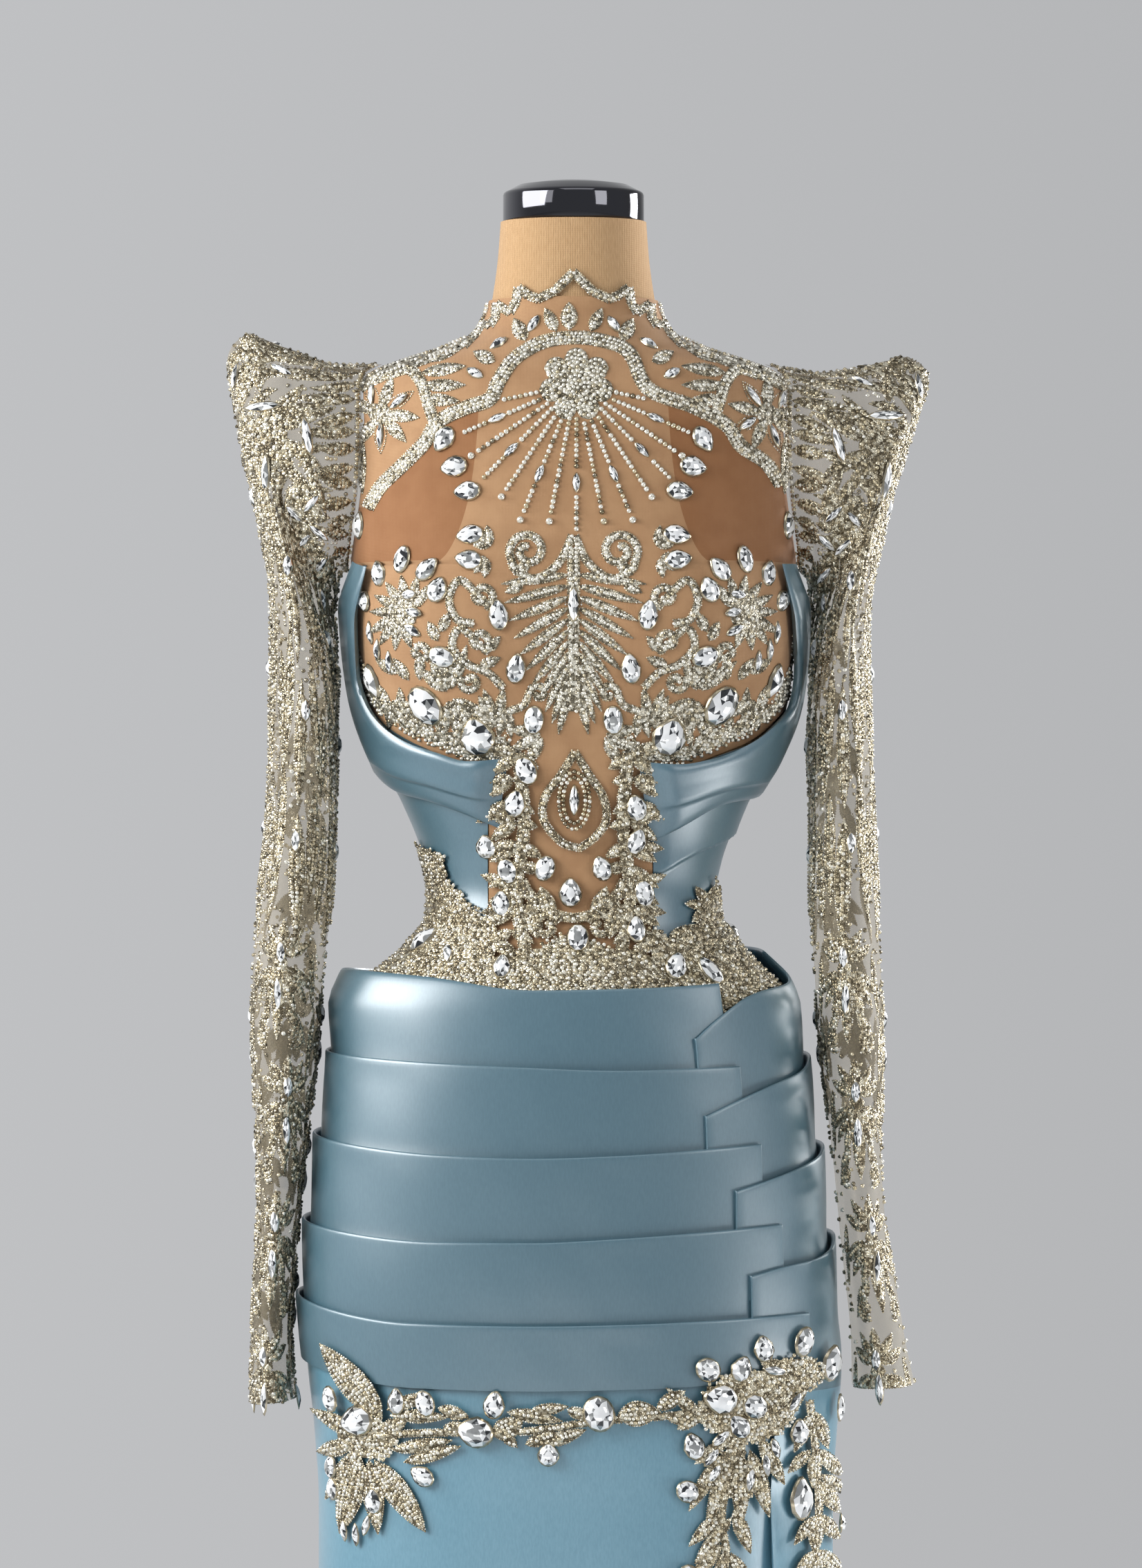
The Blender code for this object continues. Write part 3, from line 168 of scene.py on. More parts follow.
def smooth(keys, values, at):
    """Monotone cubic through points whose keys rise, for an array of places."""
    keys, values = np.asarray(keys, float), np.asarray(values, float)
    at = np.clip(np.asarray(at, float), keys[0], keys[-1])
    slopes = knot_slopes(keys, values)
    index = np.clip(np.searchsorted(keys, at, side="right") - 1, 0, len(keys) - 2)
    step = keys[index + 1] - keys[index]
    share = (at - keys[index]) / step
    return (
        (1 + 2 * share) * (1 - share) ** 2 * values[index]
        + share * (1 - share) ** 2 * step * slopes[index]
        + share**2 * (3 - 2 * share) * values[index + 1]
        + share**2 * (share - 1) * step * slopes[index + 1]
    )


def bell(value, centre, spread):
    """Smooth hump of height 1."""
    return np.exp(-(((value - centre) / spread) ** 2))


def ramp(value, start, end):
    """Share of the way from start to end, held at 0 and 1."""
    return np.clip((value - start) / (end - start), 0.0, 1.0)


def ease(share):
    """Smooth step of a share."""
    return share * share * (3 - 2 * share)


def figure(angle, height):
    """Points of the figure's surface in millimetres."""
    angle, height = np.broadcast_arrays(np.asarray(angle, float), np.asarray(height, float))
    angle = (angle + 180) % 360 - 180
    turn = np.radians(angle)
    heights, *sizes = SECTIONS.T
    width, front, back, centre = (smooth(heights, size, height) for size in sizes)
    depth = np.where(np.cos(turn) > 0, front, back)
    across = np.abs(np.sin(turn)) / width
    along = np.abs(np.cos(turn)) / depth
    radius = (across**SQUARENESS + along**SQUARENESS) ** (-1 / SQUARENESS)
    for side in (-1, 1):
        nearness = bell(angle, side * BUST.angle, BUST.spread_angle)
        radius = radius + BUST.out * nearness * bell(height, BUST.height, BUST.spread_height)
    share = np.clip((FLARE.top - height) / FLARE.top, 0, 1)
    uneven = 1 + FLARE.unevenness * np.sin(2 * turn + 1)
    wave = np.cos(FLARE.count * turn + FLARE.drift * np.sin(3 * turn))
    radius = radius + FLARE.depth * share**2 * uneven * wave
    return np.stack((radius * np.sin(turn) + centre, -radius * np.cos(turn), height), axis=-1)


def unit(vectors):
    """Vectors of length 1."""
    return vectors / np.maximum(np.linalg.norm(vectors, axis=-1, keepdims=True), 1e-9)


def normal_at(angle, height):
    """Outward normal of the figure."""
    round_step = figure(angle + NORMAL_TURN, height) - figure(angle - NORMAL_TURN, height)
    up_step = figure(angle, height + NORMAL_RISE) - figure(angle, height - NORMAL_RISE)
    return unit(np.cross(round_step, up_step))


def skin(angle, height, out):
    """Points that lie a distance outside the figure, along its normal."""
    return figure(angle, height) + normal_at(angle, height) * np.asarray(out, float)[..., None]


def angle_at(across, height):
    """Angle on the front of the figure whose point has this X."""
    across, height = np.broadcast_arrays(np.asarray(across, float), np.asarray(height, float))
    low, high = np.full(across.shape, -90.0), np.full(across.shape, 90.0)
    for _ in range(HALVINGS):
        middle = (low + high) / 2
        short = figure(middle, height)[..., 0] < across
        low, high = np.where(short, middle, low), np.where(short, high, middle)
    return (low + high) / 2


# Meshes


def show(name, data):
    """Object in the scene."""
    made = bpy.data.objects.new(name, data)
    bpy.context.scene.collection.objects.link(made)
    return made


def new_piece(name, points, faces, material, soft=True, sharp=None, solid=False):
    """Mesh piece in metres from points in millimetres, riding on the one body."""
    mesh = bpy.data.meshes.new(name)
    points = np.asarray(points, float).reshape(-1, 3) * MM
    faces = np.asarray(faces, np.int32)
    corners = faces.shape[1]
    mesh.vertices.add(len(points))
    mesh.vertices.foreach_set("co", points.ravel())
    mesh.loops.add(faces.size)
    mesh.loops.foreach_set("vertex_index", faces.ravel())
    mesh.polygons.add(len(faces))
    mesh.polygons.foreach_set("loop_start", np.arange(0, faces.size, corners, dtype=np.int32))
    mesh.update(calc_edges=True)
    mesh.validate()
    if solid:
        turn_out(mesh)
    piece = show(name, mesh)
    mesh.materials.append(material)
    if soft:
        mesh.shade_smooth()
    if sharp:
        mesh.set_sharp_from_angle(angle=math.radians(sharp))
    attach(piece, "root")
    return piece


def grid_faces(rows, columns, closed=False, shift=0):
    """Quads of a grid of points, rows by columns; closed grids run all the way round."""
    row = np.arange(rows - 1)[:, None]
    column = np.arange(columns if closed else columns - 1)[None, :]
    beside = (column + 1) % columns
    a, b = row * columns + column, row * columns + beside
    quads = np.stack((a, b, b + columns, a + columns), axis=-1).reshape(-1, 4)
    return quads[:, ::-1] + shift


def wall_faces(rows, columns):
    """Quads of a closed wall whose outer grid is followed by its inner grid."""
    shift = rows * columns
    faces = [grid_faces(rows, columns), grid_faces(rows, columns, shift=shift)[:, ::-1]]
    row, column = np.arange(rows - 1) * columns, np.arange(columns - 1)
    edges = ((column, 1), (column + shift - columns, 1), (row, columns), (row + columns - 1, columns))
    for start, step in edges:
        faces.append(np.stack((start, start + step, start + step + shift, start + shift), axis=-1))
    return np.concatenate(faces)


def turn_out(mesh):
    """Turn every face of a closed mesh outwards."""
    work = bmesh.new()
    work.from_mesh(mesh)
    bmesh.ops.recalc_face_normals(work, faces=work.faces)
    work.to_mesh(mesh)
    work.free()


def grid_normals(grid, closed=False):
    """Normals of a grid of points, to the side that its faces face."""
    if closed:
        around = np.roll(grid, -1, axis=1) - np.roll(grid, 1, axis=1)
    else:
        around = np.gradient(grid, axis=1)
    return unit(np.cross(np.gradient(grid, axis=0), around))


def cloth(name, outer, wall, material, node):
    """Closed thin wall of cloth whose outside is a grid of points, in the place of a solid."""
    points = np.stack((outer, outer - grid_normals(outer) * wall))
    piece = new_piece(name, points, wall_faces(*outer.shape[:2]), material, sharp=60, solid=True)
    declare(outer, node)
    return piece


# The least share of its flat rectangle that a cut takes up
LEAST_CUT = 0.3


def declare(outer, node):
    """Work out a cloth piece's cut as measured along the cloth, and hide the solid that it replaces."""
    along, down = np.diff(outer, axis=1), np.diff(outer, axis=0)
    width = np.linalg.norm(along, axis=2).sum(axis=1).max() * MM
    length = np.linalg.norm(down, axis=2).sum(axis=0).max() * MM
    area = np.linalg.norm(np.cross(along[:-1], down[:, :-1]), axis=2).sum() * MM * MM
    width, length = round(float(width), 2) + 0.01, round(float(length), 2) + 0.01
    area = max(min(round(float(area), 3), width * length), LEAST_CUT * width * length)
    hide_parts(node)


def tube(name, grid, heights, material, node, sharp):
    """Closed piece of rings of points, with a fan of triangles over its top and its foot."""
    rows, columns = grid.shape[:2]
    points = np.concatenate((grid.reshape(-1, 3), ((0, 0, heights[0]), (0, 0, heights[-1]))))
    side = grid_faces(rows, columns, True)
    column = np.arange(columns)
    beside = (column + 1) % columns
    last = (rows - 1) * columns
    top = np.stack((np.full(columns, rows * columns), column, beside), axis=-1)
    foot = np.stack((np.full(columns, rows * columns + 1), last + beside, last + column), axis=-1)
    faces = np.concatenate((side[:, [0, 1, 2]], side[:, [0, 2, 3]], top, foot))
    piece = new_piece(name, points, faces, material, sharp=sharp, solid=True)
    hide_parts(node)


# Materials


def new_material(name, colour, roughness, metallic=0.0, **sockets):
    """Principled material with constants on the shader's own sockets."""
    material = bpy.data.materials.new(name)
    material.use_nodes = True
    shader = material.node_tree.nodes["Principled BSDF"]
    shader.inputs["Base Color"].default_value = (*colour, 1)
    shader.inputs["Roughness"].default_value = roughness
    shader.inputs["Metallic"].default_value = metallic
    for socket, value in sockets.items():
        shader.inputs[socket.replace("_", " ")].default_value = value
    return material


def add_node(owner, kind, **values):
    """Node of a material or world, with given settings or input values."""
    node = owner.node_tree.nodes.new(kind)
    for key, value in values.items():
        if key.replace("_", " ") in node.inputs:
            node.inputs[key.replace("_", " ")].default_value = value
        else:
            setattr(node, key, value)
    return node


def link(owner, *pairs):
    """Join sockets, given as (node, output, node, input)."""
    for source, output, target, entry in pairs:
        owner.node_tree.links.new(source.outputs[output], target.inputs[entry])


def texture_space(material, scale=(1.0, 1.0, 1.0)):
    """Object coordinates, stretched."""
    place = add_node(material, "ShaderNodeTexCoord")
    mapping = add_node(material, "ShaderNodeMapping", Scale=scale)
    link(material, (place, "Object", mapping, "Vector"))
    return mapping


def colour_noise(material, first, second, scale, detail=3.0, stretch=(1, 1, 1)):
    """Base colour that drifts between two colours."""
    shader = material.node_tree.nodes["Principled BSDF"]
    space = texture_space(material, stretch)
    noise = add_node(material, "ShaderNodeTexNoise", Scale=scale, Detail=detail)
    colours = add_node(material, "ShaderNodeValToRGB")
    for element, position, colour in zip(colours.color_ramp.elements, (0.35, 0.65), (first, second)):
        element.position = position
        element.color = (*colour, 1)
    link(
        material,
        (space, "Vector", noise, "Vector"),
        (noise, "Fac", colours, "Fac"),
        (colours, "Color", shader, "Base Color"),
    )


def weave_bump(material, scale, strength, stretch=(1, 1, 1), distance=0.0002):
    """Fine threads both ways as a bump."""
    shader = material.node_tree.nodes["Principled BSDF"]
    space = texture_space(material, stretch)
    product = add_node(material, "ShaderNodeMath", operation="MULTIPLY")
    bump = add_node(material, "ShaderNodeBump", Strength=strength, Distance=distance)
    bands = {"wave_type": "BANDS", "Scale": scale, "Distortion": 0.6, "Detail": 1.0}
    for number, direction in enumerate(("X", "Z")):
        wave = add_node(material, "ShaderNodeTexWave", bands_direction=direction, **bands)
        link(material, (space, "Vector", wave, "Vector"), (wave, "Fac", product, number))
    link(material, (product, "Value", bump, "Height"), (bump, "Normal", shader, "Normal"))


def satin_material(name, roughness, gloss, depth):
    """Steel-blue duchess satin: fine slubs, broad white gloss that depends on how the piece is cut; depth
    scales its colour, and a larger depth paints a highlight into it.
    """
    low, middle, high = (
        tuple(part * depth for part in colour)
        for colour in ((0.080, 0.208, 0.280), (0.089, 0.220, 0.292), (0.104, 0.244, 0.318))
    )
    made = new_material(
        name,
        middle,
        roughness,
        0.12,
        Specular_IOR_Level=0.4,
        Coat_Weight=gloss,
        Coat_Roughness=roughness - 0.06,
        Coat_IOR=2.1,
        Sheen_Weight=0.04,
        Sheen_Roughness=0.35,
        Sheen_Tint=(0.7, 0.88, 1.0, 1),
    )
    colour_noise(made, low, high, 900, 4.0, (1, 1, 0.25))
    weave_bump(made, 700, 0.10)
    return made


def net_material(name, low, high):
    """Skin-toned fine net over the form."""
    made = new_material(name, low, 0.75, Sheen_Weight=0.15)
    colour_noise(made, low, high, 60, 5.0)
    weave_bump(made, 520, 0.45, distance=0.0004)
    return made


def tulle_material():
    """Sheer ivory tulle."""
    made = new_material("ivory_tulle_look", (0.40, 0.34, 0.235), 0.65, Alpha=0.34, Sheen_Weight=0.1)
    colour_noise(made, (0.33, 0.275, 0.18), (0.50, 0.435, 0.32), 40, 4.0, (1, 1, 0.3))
    weave_bump(made, 500, 0.3)
    return made


def knit_material():
    """Fine ribbed jersey of the form's cover."""
    made = new_material("knit_look", (0.48, 0.30, 0.145), 0.95, Sheen_Weight=0.15)
    colour_noise(made, (0.455, 0.280, 0.135), (0.520, 0.330, 0.170), 420, 5.0, (3, 3, 0.4))
    weave_bump(made, 190, 0.5, (1, 1, 2.2), 0.0004)
    return made


def chrome_material():
    """Polished chrome, its colour darkened to paint in the dark surroundings that it reflects, with faint
    wiping marks.
    """
    # Painted dark reflection: a base colour far darker than chrome's own.
    made = new_material("chrome_painted_dark_reflection_look", (0.10, 0.10, 0.11), 0.05, 1.0)
    shader = made.node_tree.nodes["Principled BSDF"]
    space = texture_space(made, (1, 1, 6))
    noise = add_node(made, "ShaderNodeTexNoise", Scale=60.0, Detail=4.0)
    level = add_node(made, "ShaderNodeMapRange", To_Min=0.03, To_Max=0.09)
    link(
        made,
        (space, "Vector", noise, "Vector"),
        (noise, "Fac", level, "Value"),
        (level, "Result", shader, "Roughness"),
    )
    return made


def steel_material():
    """Brushed steel of the pole and base."""
    made = new_material("stand_steel_look", (0.55, 0.56, 0.58), 0.32, 1.0)
    colour_noise(made, (0.48, 0.49, 0.51), (0.60, 0.61, 0.63), 90, 5.0, (1, 1, 8))
    return made


# Two copies of one satin colour: the skirt and drape take it nearly twice as light, a painted highlight on
# top of their sharper gloss.
SATIN = satin_material("blue_satin_look", 0.43, 0.9, 0.62)
SKIRT_SATIN_PAINTED_LIGHTER = satin_material("blue_satin_skirt_painted_highlight_look", 0.38, 1.0, 1.22)
NET = net_material("nude_net_look", (0.38, 0.206, 0.094), (0.43, 0.244, 0.116))
NET_DOUBLE = net_material("double_net_look", (0.265, 0.110, 0.034), (0.295, 0.128, 0.044))
TULLE = tulle_material()
KNIT = knit_material()
CHROME_PAINTED_DARK = chrome_material()
STEEL = steel_material()


# Dress form

FORM_BOTTOM = 664.0
FORM_TOP = 1535.7
# Radius and height of the neck cap, from the middle of its top to its foot
CAP_PROFILE = (
    (20, 1564.2), (38, 1561.6), (46, 1557.4), (47.6, 1556.7), (48.6, 1555.6), (49, 1554.2), (49, 1536.6),
    (48.6, 1536.0),
)
CAP_STEPS = 96
# How far the form stays inside the figure: everywhere, more below the shoulder, and more near its underside
FORM_GAP = 1.0
BODY_GAP = 3.5
UNDERSIDE_GAP = 14.0


def form_lie(height):
    """Distance of the form's surface outside the figure; it is below 0, as the form stays inside."""
    body, underside = ramp(height, 1450, 1428), ramp(height, 720, FORM_BOTTOM)
    return -(FORM_GAP + BODY_GAP * body + UNDERSIDE_GAP * underside**2)


def build_form():
    """Smooth jersey-covered torso, neck cap turned in fine steps, and better metal on the stand."""
    heights = np.linspace(FORM_TOP, FORM_BOTTOM, 130)
    grid = skin(np.arange(0, 360, 3.0), heights[:, None], form_lie(heights)[:, None])
    tube("form_cover", grid, heights, KNIT, "form_torso", 50)
    turns = np.radians(np.arange(0, 360, 360 / CAP_STEPS))
    radius, heights = np.array(CAP_PROFILE, float).T[:, :, None]
    rings = np.broadcast_arrays(radius * np.cos(turns), radius * np.sin(turns), heights)
    tube("neck_cap_chrome", np.stack(rings, axis=-1), heights[:, 0], CHROME_PAINTED_DARK, "form_neck_cap", 35)
    for node in ("form_pole", "form_base"):
        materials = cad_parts[node].data.materials
        materials.clear()
        materials.append(STEEL)


# Cloth on the body

# How far the cloth's outside lies off the figure, and how thick it is
NET_LIE = 1.2
SATIN_LIE = 1.6
LEAST_LIE = 0.9
SKIRT_LIE = -0.2
WALL = 0.8
FOLD_WALL = 0.6
TIER_WALL = 0.5
TIER_COLUMN = 2.4
TIER_ROWS = 14
TIER_HIDDEN = 8.0
FOLD_DROPS = (16.0, 5.0, 2.0, 0.7, -0.1, -0.3, 0.0, 0.7, 2.0, 4.5, 9.0)
FOLD_INSETS = (3.2, 3.2, 3.1, 2.8, 2.1, 1.2, 0.5, 0.12, 0.0, 0.0, 0.0)
TUCK_ARCS = (0.0, 0.5, 0.8, 0.75, 0.2, -6.0)
TUCK_INSETS = (0.0, 0.15, 0.8, 1.9, 2.9, 3.2)


def seam_angle(angle, height):
    """Angle that half of a seam's gap takes up at a place on the figure."""
    return np.degrees(SEAM / 2 / np.linalg.norm(figure(angle, height)[..., :2], axis=-1))


def armhole_share(height):
    """How wide the armhole is at a height, from 0 at its ends to 1 in its middle."""
    offset = (height - ARMHOLE.height) / ARMHOLE.half_height
    return np.sqrt(np.maximum(0.0, 1 - offset * offset))


def between(start, end, columns):
    """Evenly spaced columns from a start to an end that differ from row to row."""
    share = np.linspace(0, 1, columns)[None, :]
    return start[:, None] * (1 - share) + end[:, None] * share


# Waves of cloth that isn't quite smooth: share of the size, waves round, rise of one radian, and shift
WAVES = ((0.5, 3.1, 37, 1.0), (0.3, 7.3, -23, 2.1), (0.2, 13.7, 11, 0.7))


def wobble(angle, height, size, seed):
    """Slow uneven waves of the cloth."""
    turn = np.radians(angle)
    return size * sum(
        share * np.sin(count * turn + height / rise + shift * seed) for share, count, rise, shift in WAVES
    )


# Beaded arch of the yoke, across and height
YOKE_ARCH = (
    (-140, 1336), (-131, 1350), (-116, 1364), (-101, 1379), (-92, 1393), (-74, 1402), (-57, 1408),
    (-51, 1420), (-40, 1436), (-20, 1448), (2, 1451), (22, 1448), (38, 1440), (51, 1415), (82, 1403),
    (104, 1391), (114, 1377), (131, 1366), (141, 1352),
)
DOUBLE_NET_LOW = 1297.0
DOUBLE_NET_SHARE = 0.485


def mark_double_net(piece, grid):
    """Darker look beside the arch, where the net is doubled; grid is the outer side of the piece."""
    piece.data.materials.append(NET_DOUBLE)
    middle = (grid[1:, 1:] + grid[:-1, :-1]) / 2
    arch = np.array(YOKE_ARCH, float)
    below = middle[..., 2] < np.interp(middle[..., 0], arch[:, 0], arch[:, 1])
    aside = np.abs(np.linspace(-1, 1, middle.shape[1])) > DOUBLE_NET_SHARE
    darker = below & (middle[..., 2] > DOUBLE_NET_LOW) & aside[None, :]
    for number in np.flatnonzero(darker.reshape(-1)):
        piece.data.polygons[int(number)].material_index = 1


def satin_edge(sign, heights):
    """Angle of a satin front's edge towards the beadwork, at each height."""
    return angle_at(smooth(SATIN_EDGE[:, 0], SATIN_EDGE[:, 1 if sign < 0 else 2], heights), heights)


def net(name, grid, node):
    """Piece of the skin-toned net, in the place of a solid."""
    return cloth(name, grid, WALL, NET, node)


def build_net():
    """Net front, back halves and stand collar."""
    upper = np.linspace(NET_TOP, SATIN_TOP + 2, 56)
    lower = np.linspace(SATIN_TOP - 1, BODICE_BOTTOM, 80)
    side = 90 - ARMHOLE.front_angle * armhole_share(upper) - seam_angle(90, upper)
    starts, ends = satin_edge(-1, lower), satin_edge(1, lower)
    starts = starts + 2 * seam_angle(starts, lower)
    ends = ends - 2 * seam_angle(ends, lower)
    angles = np.concatenate((between(-side, side, 76), between(starts, ends, 76)))
    front = skin(angles, np.concatenate((upper, lower))[:, None], NET_LIE)
    mark_double_net(net("net_front", front, "bodice_front"), front)
    upper = np.linspace(NET_TOP, BACK_PANEL_TOP + SEAM, 60)
    edge = 90 + ARMHOLE.back_angle * armhole_share(upper) + seam_angle(90, upper)
    for name, sign in SIDES:
        angles = between(sign * edge, sign * (180 - seam_angle(180, upper)), 36)
        net("net_back_" + name, skin(angles, upper[:, None], NET_LIE)[:, ::sign], "bodice_back_" + name)
    gap = float(seam_angle(180, COLLAR_TOP))
    angles = np.linspace(-180 + gap, 180 - gap, 160)
    net("net_collar", skin(angles, np.linspace(COLLAR_TOP, NET_TOP, 10)[:, None], NET_LIE), "stand_collar")


# Fold lines of the satin fronts, each with how far the satin above it stands out
Lap = namedtuple("Lap", "rise line")
LAPS = {
    -1: (Lap(0.8, ((-152, 1150), (-128, 1118), (-103, 1088), (-84, 1062), (-60, 1036))),),
    1: (
        Lap(3.6, ((152, 1180), (130, 1146), (105, 1110), (82, 1099), (57, 1084))),
        Lap(3.4, ((152, 1204), (138, 1184), (112, 1162), (84, 1146), (57, 1137))),
    ),
}
LAP_FADE = 24.0


def above_line(line, across, height):
    """Signed height above a line that runs across the front."""
    line = np.array(sorted(line), float)
    return height - smooth(line[:, 0], line[:, 1], across)


def satin(node, grid, wall=WALL, material=SATIN):
    """Piece of satin, in the place of a solid."""
    cloth(node + "_cloth", grid, wall, material, node)


def build_satin_bodice():
    """Satin fronts and backs."""
    heights = np.linspace(SATIN_TOP, BODICE_BOTTOM, 170)
    for name, sign in SIDES:
        angles = between(satin_edge(sign, heights), sign * (90 - seam_angle(90, heights)), 44)
        places = figure(angles, heights[:, None])
        rise = 0.0
        for lap in LAPS[sign]:
            above = above_line(lap.line, places[..., 0], places[..., 2])
            rise = rise + lap.rise * ease(ramp(above, -0.4, 0.6)) * np.exp(-np.maximum(above, 0) / LAP_FADE)
        fade = ramp(places[..., 2], 1290, 1230) * ramp(np.abs(places[..., 0]), 54, 64)
        out = SATIN_LIE + rise * fade + wobble(angles, heights[:, None], 0.35, sign)
        satin("satin_front_" + name, skin(angles, heights[:, None], np.maximum(out, LEAST_LIE))[:, ::sign])
    heights = np.linspace(BACK_PANEL_TOP, BODICE_BOTTOM, 70)
    for name, sign in SIDES:
        start = sign * (90 + seam_angle(90, heights))
        angles = between(start, sign * (180 - seam_angle(180, heights)), 36)
        out = SATIN_LIE + wobble(angles, heights[:, None], 0.4, 3 + sign)
        satin("satin_back_" + name, skin(angles, heights[:, None], out)[:, ::sign])


# Across a rolled fold: share of the way from inner to outer rail, and how far its outside stands out
ROLL = np.array((
    (0.06, 4.6), (0.02, 6.4), (0.0, 8.2), (0.03, 9.8), (0.09, 10.8), (0.17, 11.0), (0.25, 10.7),
    (0.36, 11.2), (0.50, 12.1), (0.58, 12.3), (0.62, 11.6), (0.64, 10.3), (0.70, 10.2), (0.84, 9.6),
    (0.94, 8.6), (0.99, 7.2), (1.0, 6.0), (0.97, 4.8),
))
ROLL_END_OUT = 6.6
ROLL_END_SHARE = 0.12
# How much lower a fold's foot ends under the beadwork, so that its line runs on straight
ROLL_END_DROP = 24.0
ROLL_SINK = 0.62


def build_rolled_folds():
    """Satin folds that roll out under the bust."""
    stations = np.linspace(0, 1, 90)
    for (name, sign), rails in zip(SIDES, (RIGHT_FOLD, LEFT_FOLD)):
        keys = np.linspace(0, 1, len(rails))
        inner, inner_height, outer = (smooth(keys, rails[:, column], stations) for column in range(3))
        foot = rails[:, 3] - ROLL_END_DROP * (keys == 1)
        outer_height = smooth(keys, foot, stations)
        start, end = angle_at(inner, inner_height), angle_at(outer, outer_height)
        fullness = ease(np.clip(np.minimum(stations, 1 - stations) / ROLL_END_SHARE, 0, 1))
        share, out = ROLL.T
        angles = start[:, None] + (end - start)[:, None] * share
        heights = inner_height[:, None] + (outer_height - inner_height)[:, None] * share
        level = ROLL_END_OUT + (out - ROLL_END_OUT) * (0.35 + 0.65 * fullness[:, None])
        level = level * (1 - ROLL_SINK * ease(ramp(stations, 0.90, 1.0)))[:, None]
        grid = skin(angles, heights, level)[:, ::sign]
        satin("bust_fold_" + name, grid, FOLD_WALL)


def tier_lift(tier, angle, drop):
    """How far a tier's outside stands off the figure, a drop below its folded edge."""
    lift = np.maximum(TIER_EDGE - TIER_SLOPE * drop, TIER_LEAST)
    flare = TIER_SIDE_FLARE.get(tier.name, 0.0)
    sideways = np.abs(np.sin(np.radians(angle))) ** TIER_FLARE_POWER
    return lift + flare * sideways * np.exp(-np.maximum(drop, 0) / TIER_FLARE_FALL)


def build_tiers():
    """Folded tiers of the hip wrap: each edge rolls over and goes down behind, and so does each end."""
    for number, tier in enumerate(TIERS):
        stations = [(tier.side * 180, tier.back_height), (tier.side * 90, tier.side_height)]
        stations += [(float(angle_at(across, height)), height) for across, height in tier.front]
        keys, tops = np.array(sorted(stations)).T
        gap = float(seam_angle(180, tier.side_height))
        start, end = keys[0], keys[-1]
        seam, folded = (start + gap, end) if tier.side < 0 else (end - gap, start)
        columns = max(3, round(abs(folded - seam) / TIER_COLUMN) + 1)
        angles = np.linspace(seam, folded, columns)[:-1]
        radius = float(np.linalg.norm(figure(folded, tops[0])[:2]))
        toward = 1 if folded > seam else -1
        tucks = folded + toward * np.degrees(np.array(TUCK_ARCS) / radius)
        angles = np.concatenate((angles, tucks))
        inset = np.concatenate((np.zeros(columns - 1), TUCK_INSETS))
        near = np.clip(np.abs(angles - folded) / TIER_TAIL_ANGLE, 0, 1)
        tail = tier.end_tail + (tier.tail - tier.end_tail) * near + TIER_HIDDEN
        rows = np.linspace(0, 1, TIER_ROWS)[1:]
        drops = [np.full(len(angles), drop) for drop in FOLD_DROPS]
        drops += [FOLD_DROPS[-1] + (tail - FOLD_DROPS[-1]) * row for row in rows]
        drops, insets = np.array(drops), np.array((*FOLD_INSETS, *np.zeros(len(rows))))[:, None]
        heights = smooth(keys, tops, angles) - drops
        lift = tier_lift(tier, angles, drops) - np.maximum(insets, inset)
        lift = lift + wobble(angles, heights, 0.5, number) * ramp(drops, 2, 14)
        satin(tier.name, skin(angles, heights, lift)[:, ::toward], TIER_WALL)


Drape = namedtuple("Drape", "front_angle back_angle top lie edge_out edge_fall ridge_out ridge_count")
DRAPE = Drape(60, 150, 730, 1.4, 8.0, 30.0, 5.0, 3)
DRAPE_ROWS = 110


def build_skirt():
    """Skirt front and back with their waves, and the side drape."""
    heights = np.linspace(SKIRT_TOP, HEM_HEIGHT, 110)
    gap = seam_angle(90, heights)
    for name, middle in (("skirt_front", 0), ("skirt_back", 180)):
        angles = between(middle - 90 + gap, middle + 90 - gap, 101)
        ripples = wobble(angles, heights[:, None] * 0.2, 1.0, middle) * ramp(heights, 700, 560)[:, None]
        grid = skin(angles, heights[:, None], SKIRT_LIE + 0.6 * ripples)
        # The skirt's satin is painted lighter than the bodice's, a painted highlight.
        satin(name, grid, WALL, SKIRT_SATIN_PAINTED_LIGHTER)
    heights = np.linspace(DRAPE.top, HEM_HEIGHT, DRAPE_ROWS)[:, None]
    share = np.linspace(0, 1, 88)
    edge = DRAPE.edge_out * ramp(heights, 660, 580) * np.exp(-share * DRAPE.edge_fall)
    ridges = DRAPE.ridge_out * ramp(heights, 570, 480) * np.sin(np.pi * DRAPE.ridge_count * share) ** 2
    out = DRAPE.lie + SATIN_LIE + edge + ridges
    tucked = np.array((7.0, 4.0, 1.4, 0.2)) * ramp(heights, 690, 620)
    out = np.concatenate((np.maximum(out[:, :1] - tucked, 1.9), out), axis=1)
    lead = np.array((0.9, 0.1, -0.25, -0.3))
    angles = DRAPE.front_angle + np.concatenate((lead, (DRAPE.back_angle - DRAPE.front_angle) * share))
    satin("side_drape", skin(angles, heights, out), FOLD_WALL, SKIRT_SATIN_PAINTED_LIGHTER)


# Sleeves

SLEEVE_ROWS = 6
SLEEVE_COLUMNS = 72


def spline_rows(grid, steps):
    """Rows of points joined by a Catmull-Rom spline, with steps between two rows."""
    padded = np.concatenate((grid[:1], grid, grid[-1:]))
    rows = []
    for index in range(len(grid) - 1):
        a, b, c, d = padded[index : index + 4]
        for step in range(steps):
            t = step / steps
            square, cube = 2 * a - 5 * b + 4 * c - d, 3 * b - 3 * c + d - a
            rows.append(0.5 * (2 * b + (c - a) * t + square * t**2 + cube * t**3))
    rows.append(grid[-1])
    return np.array(rows)


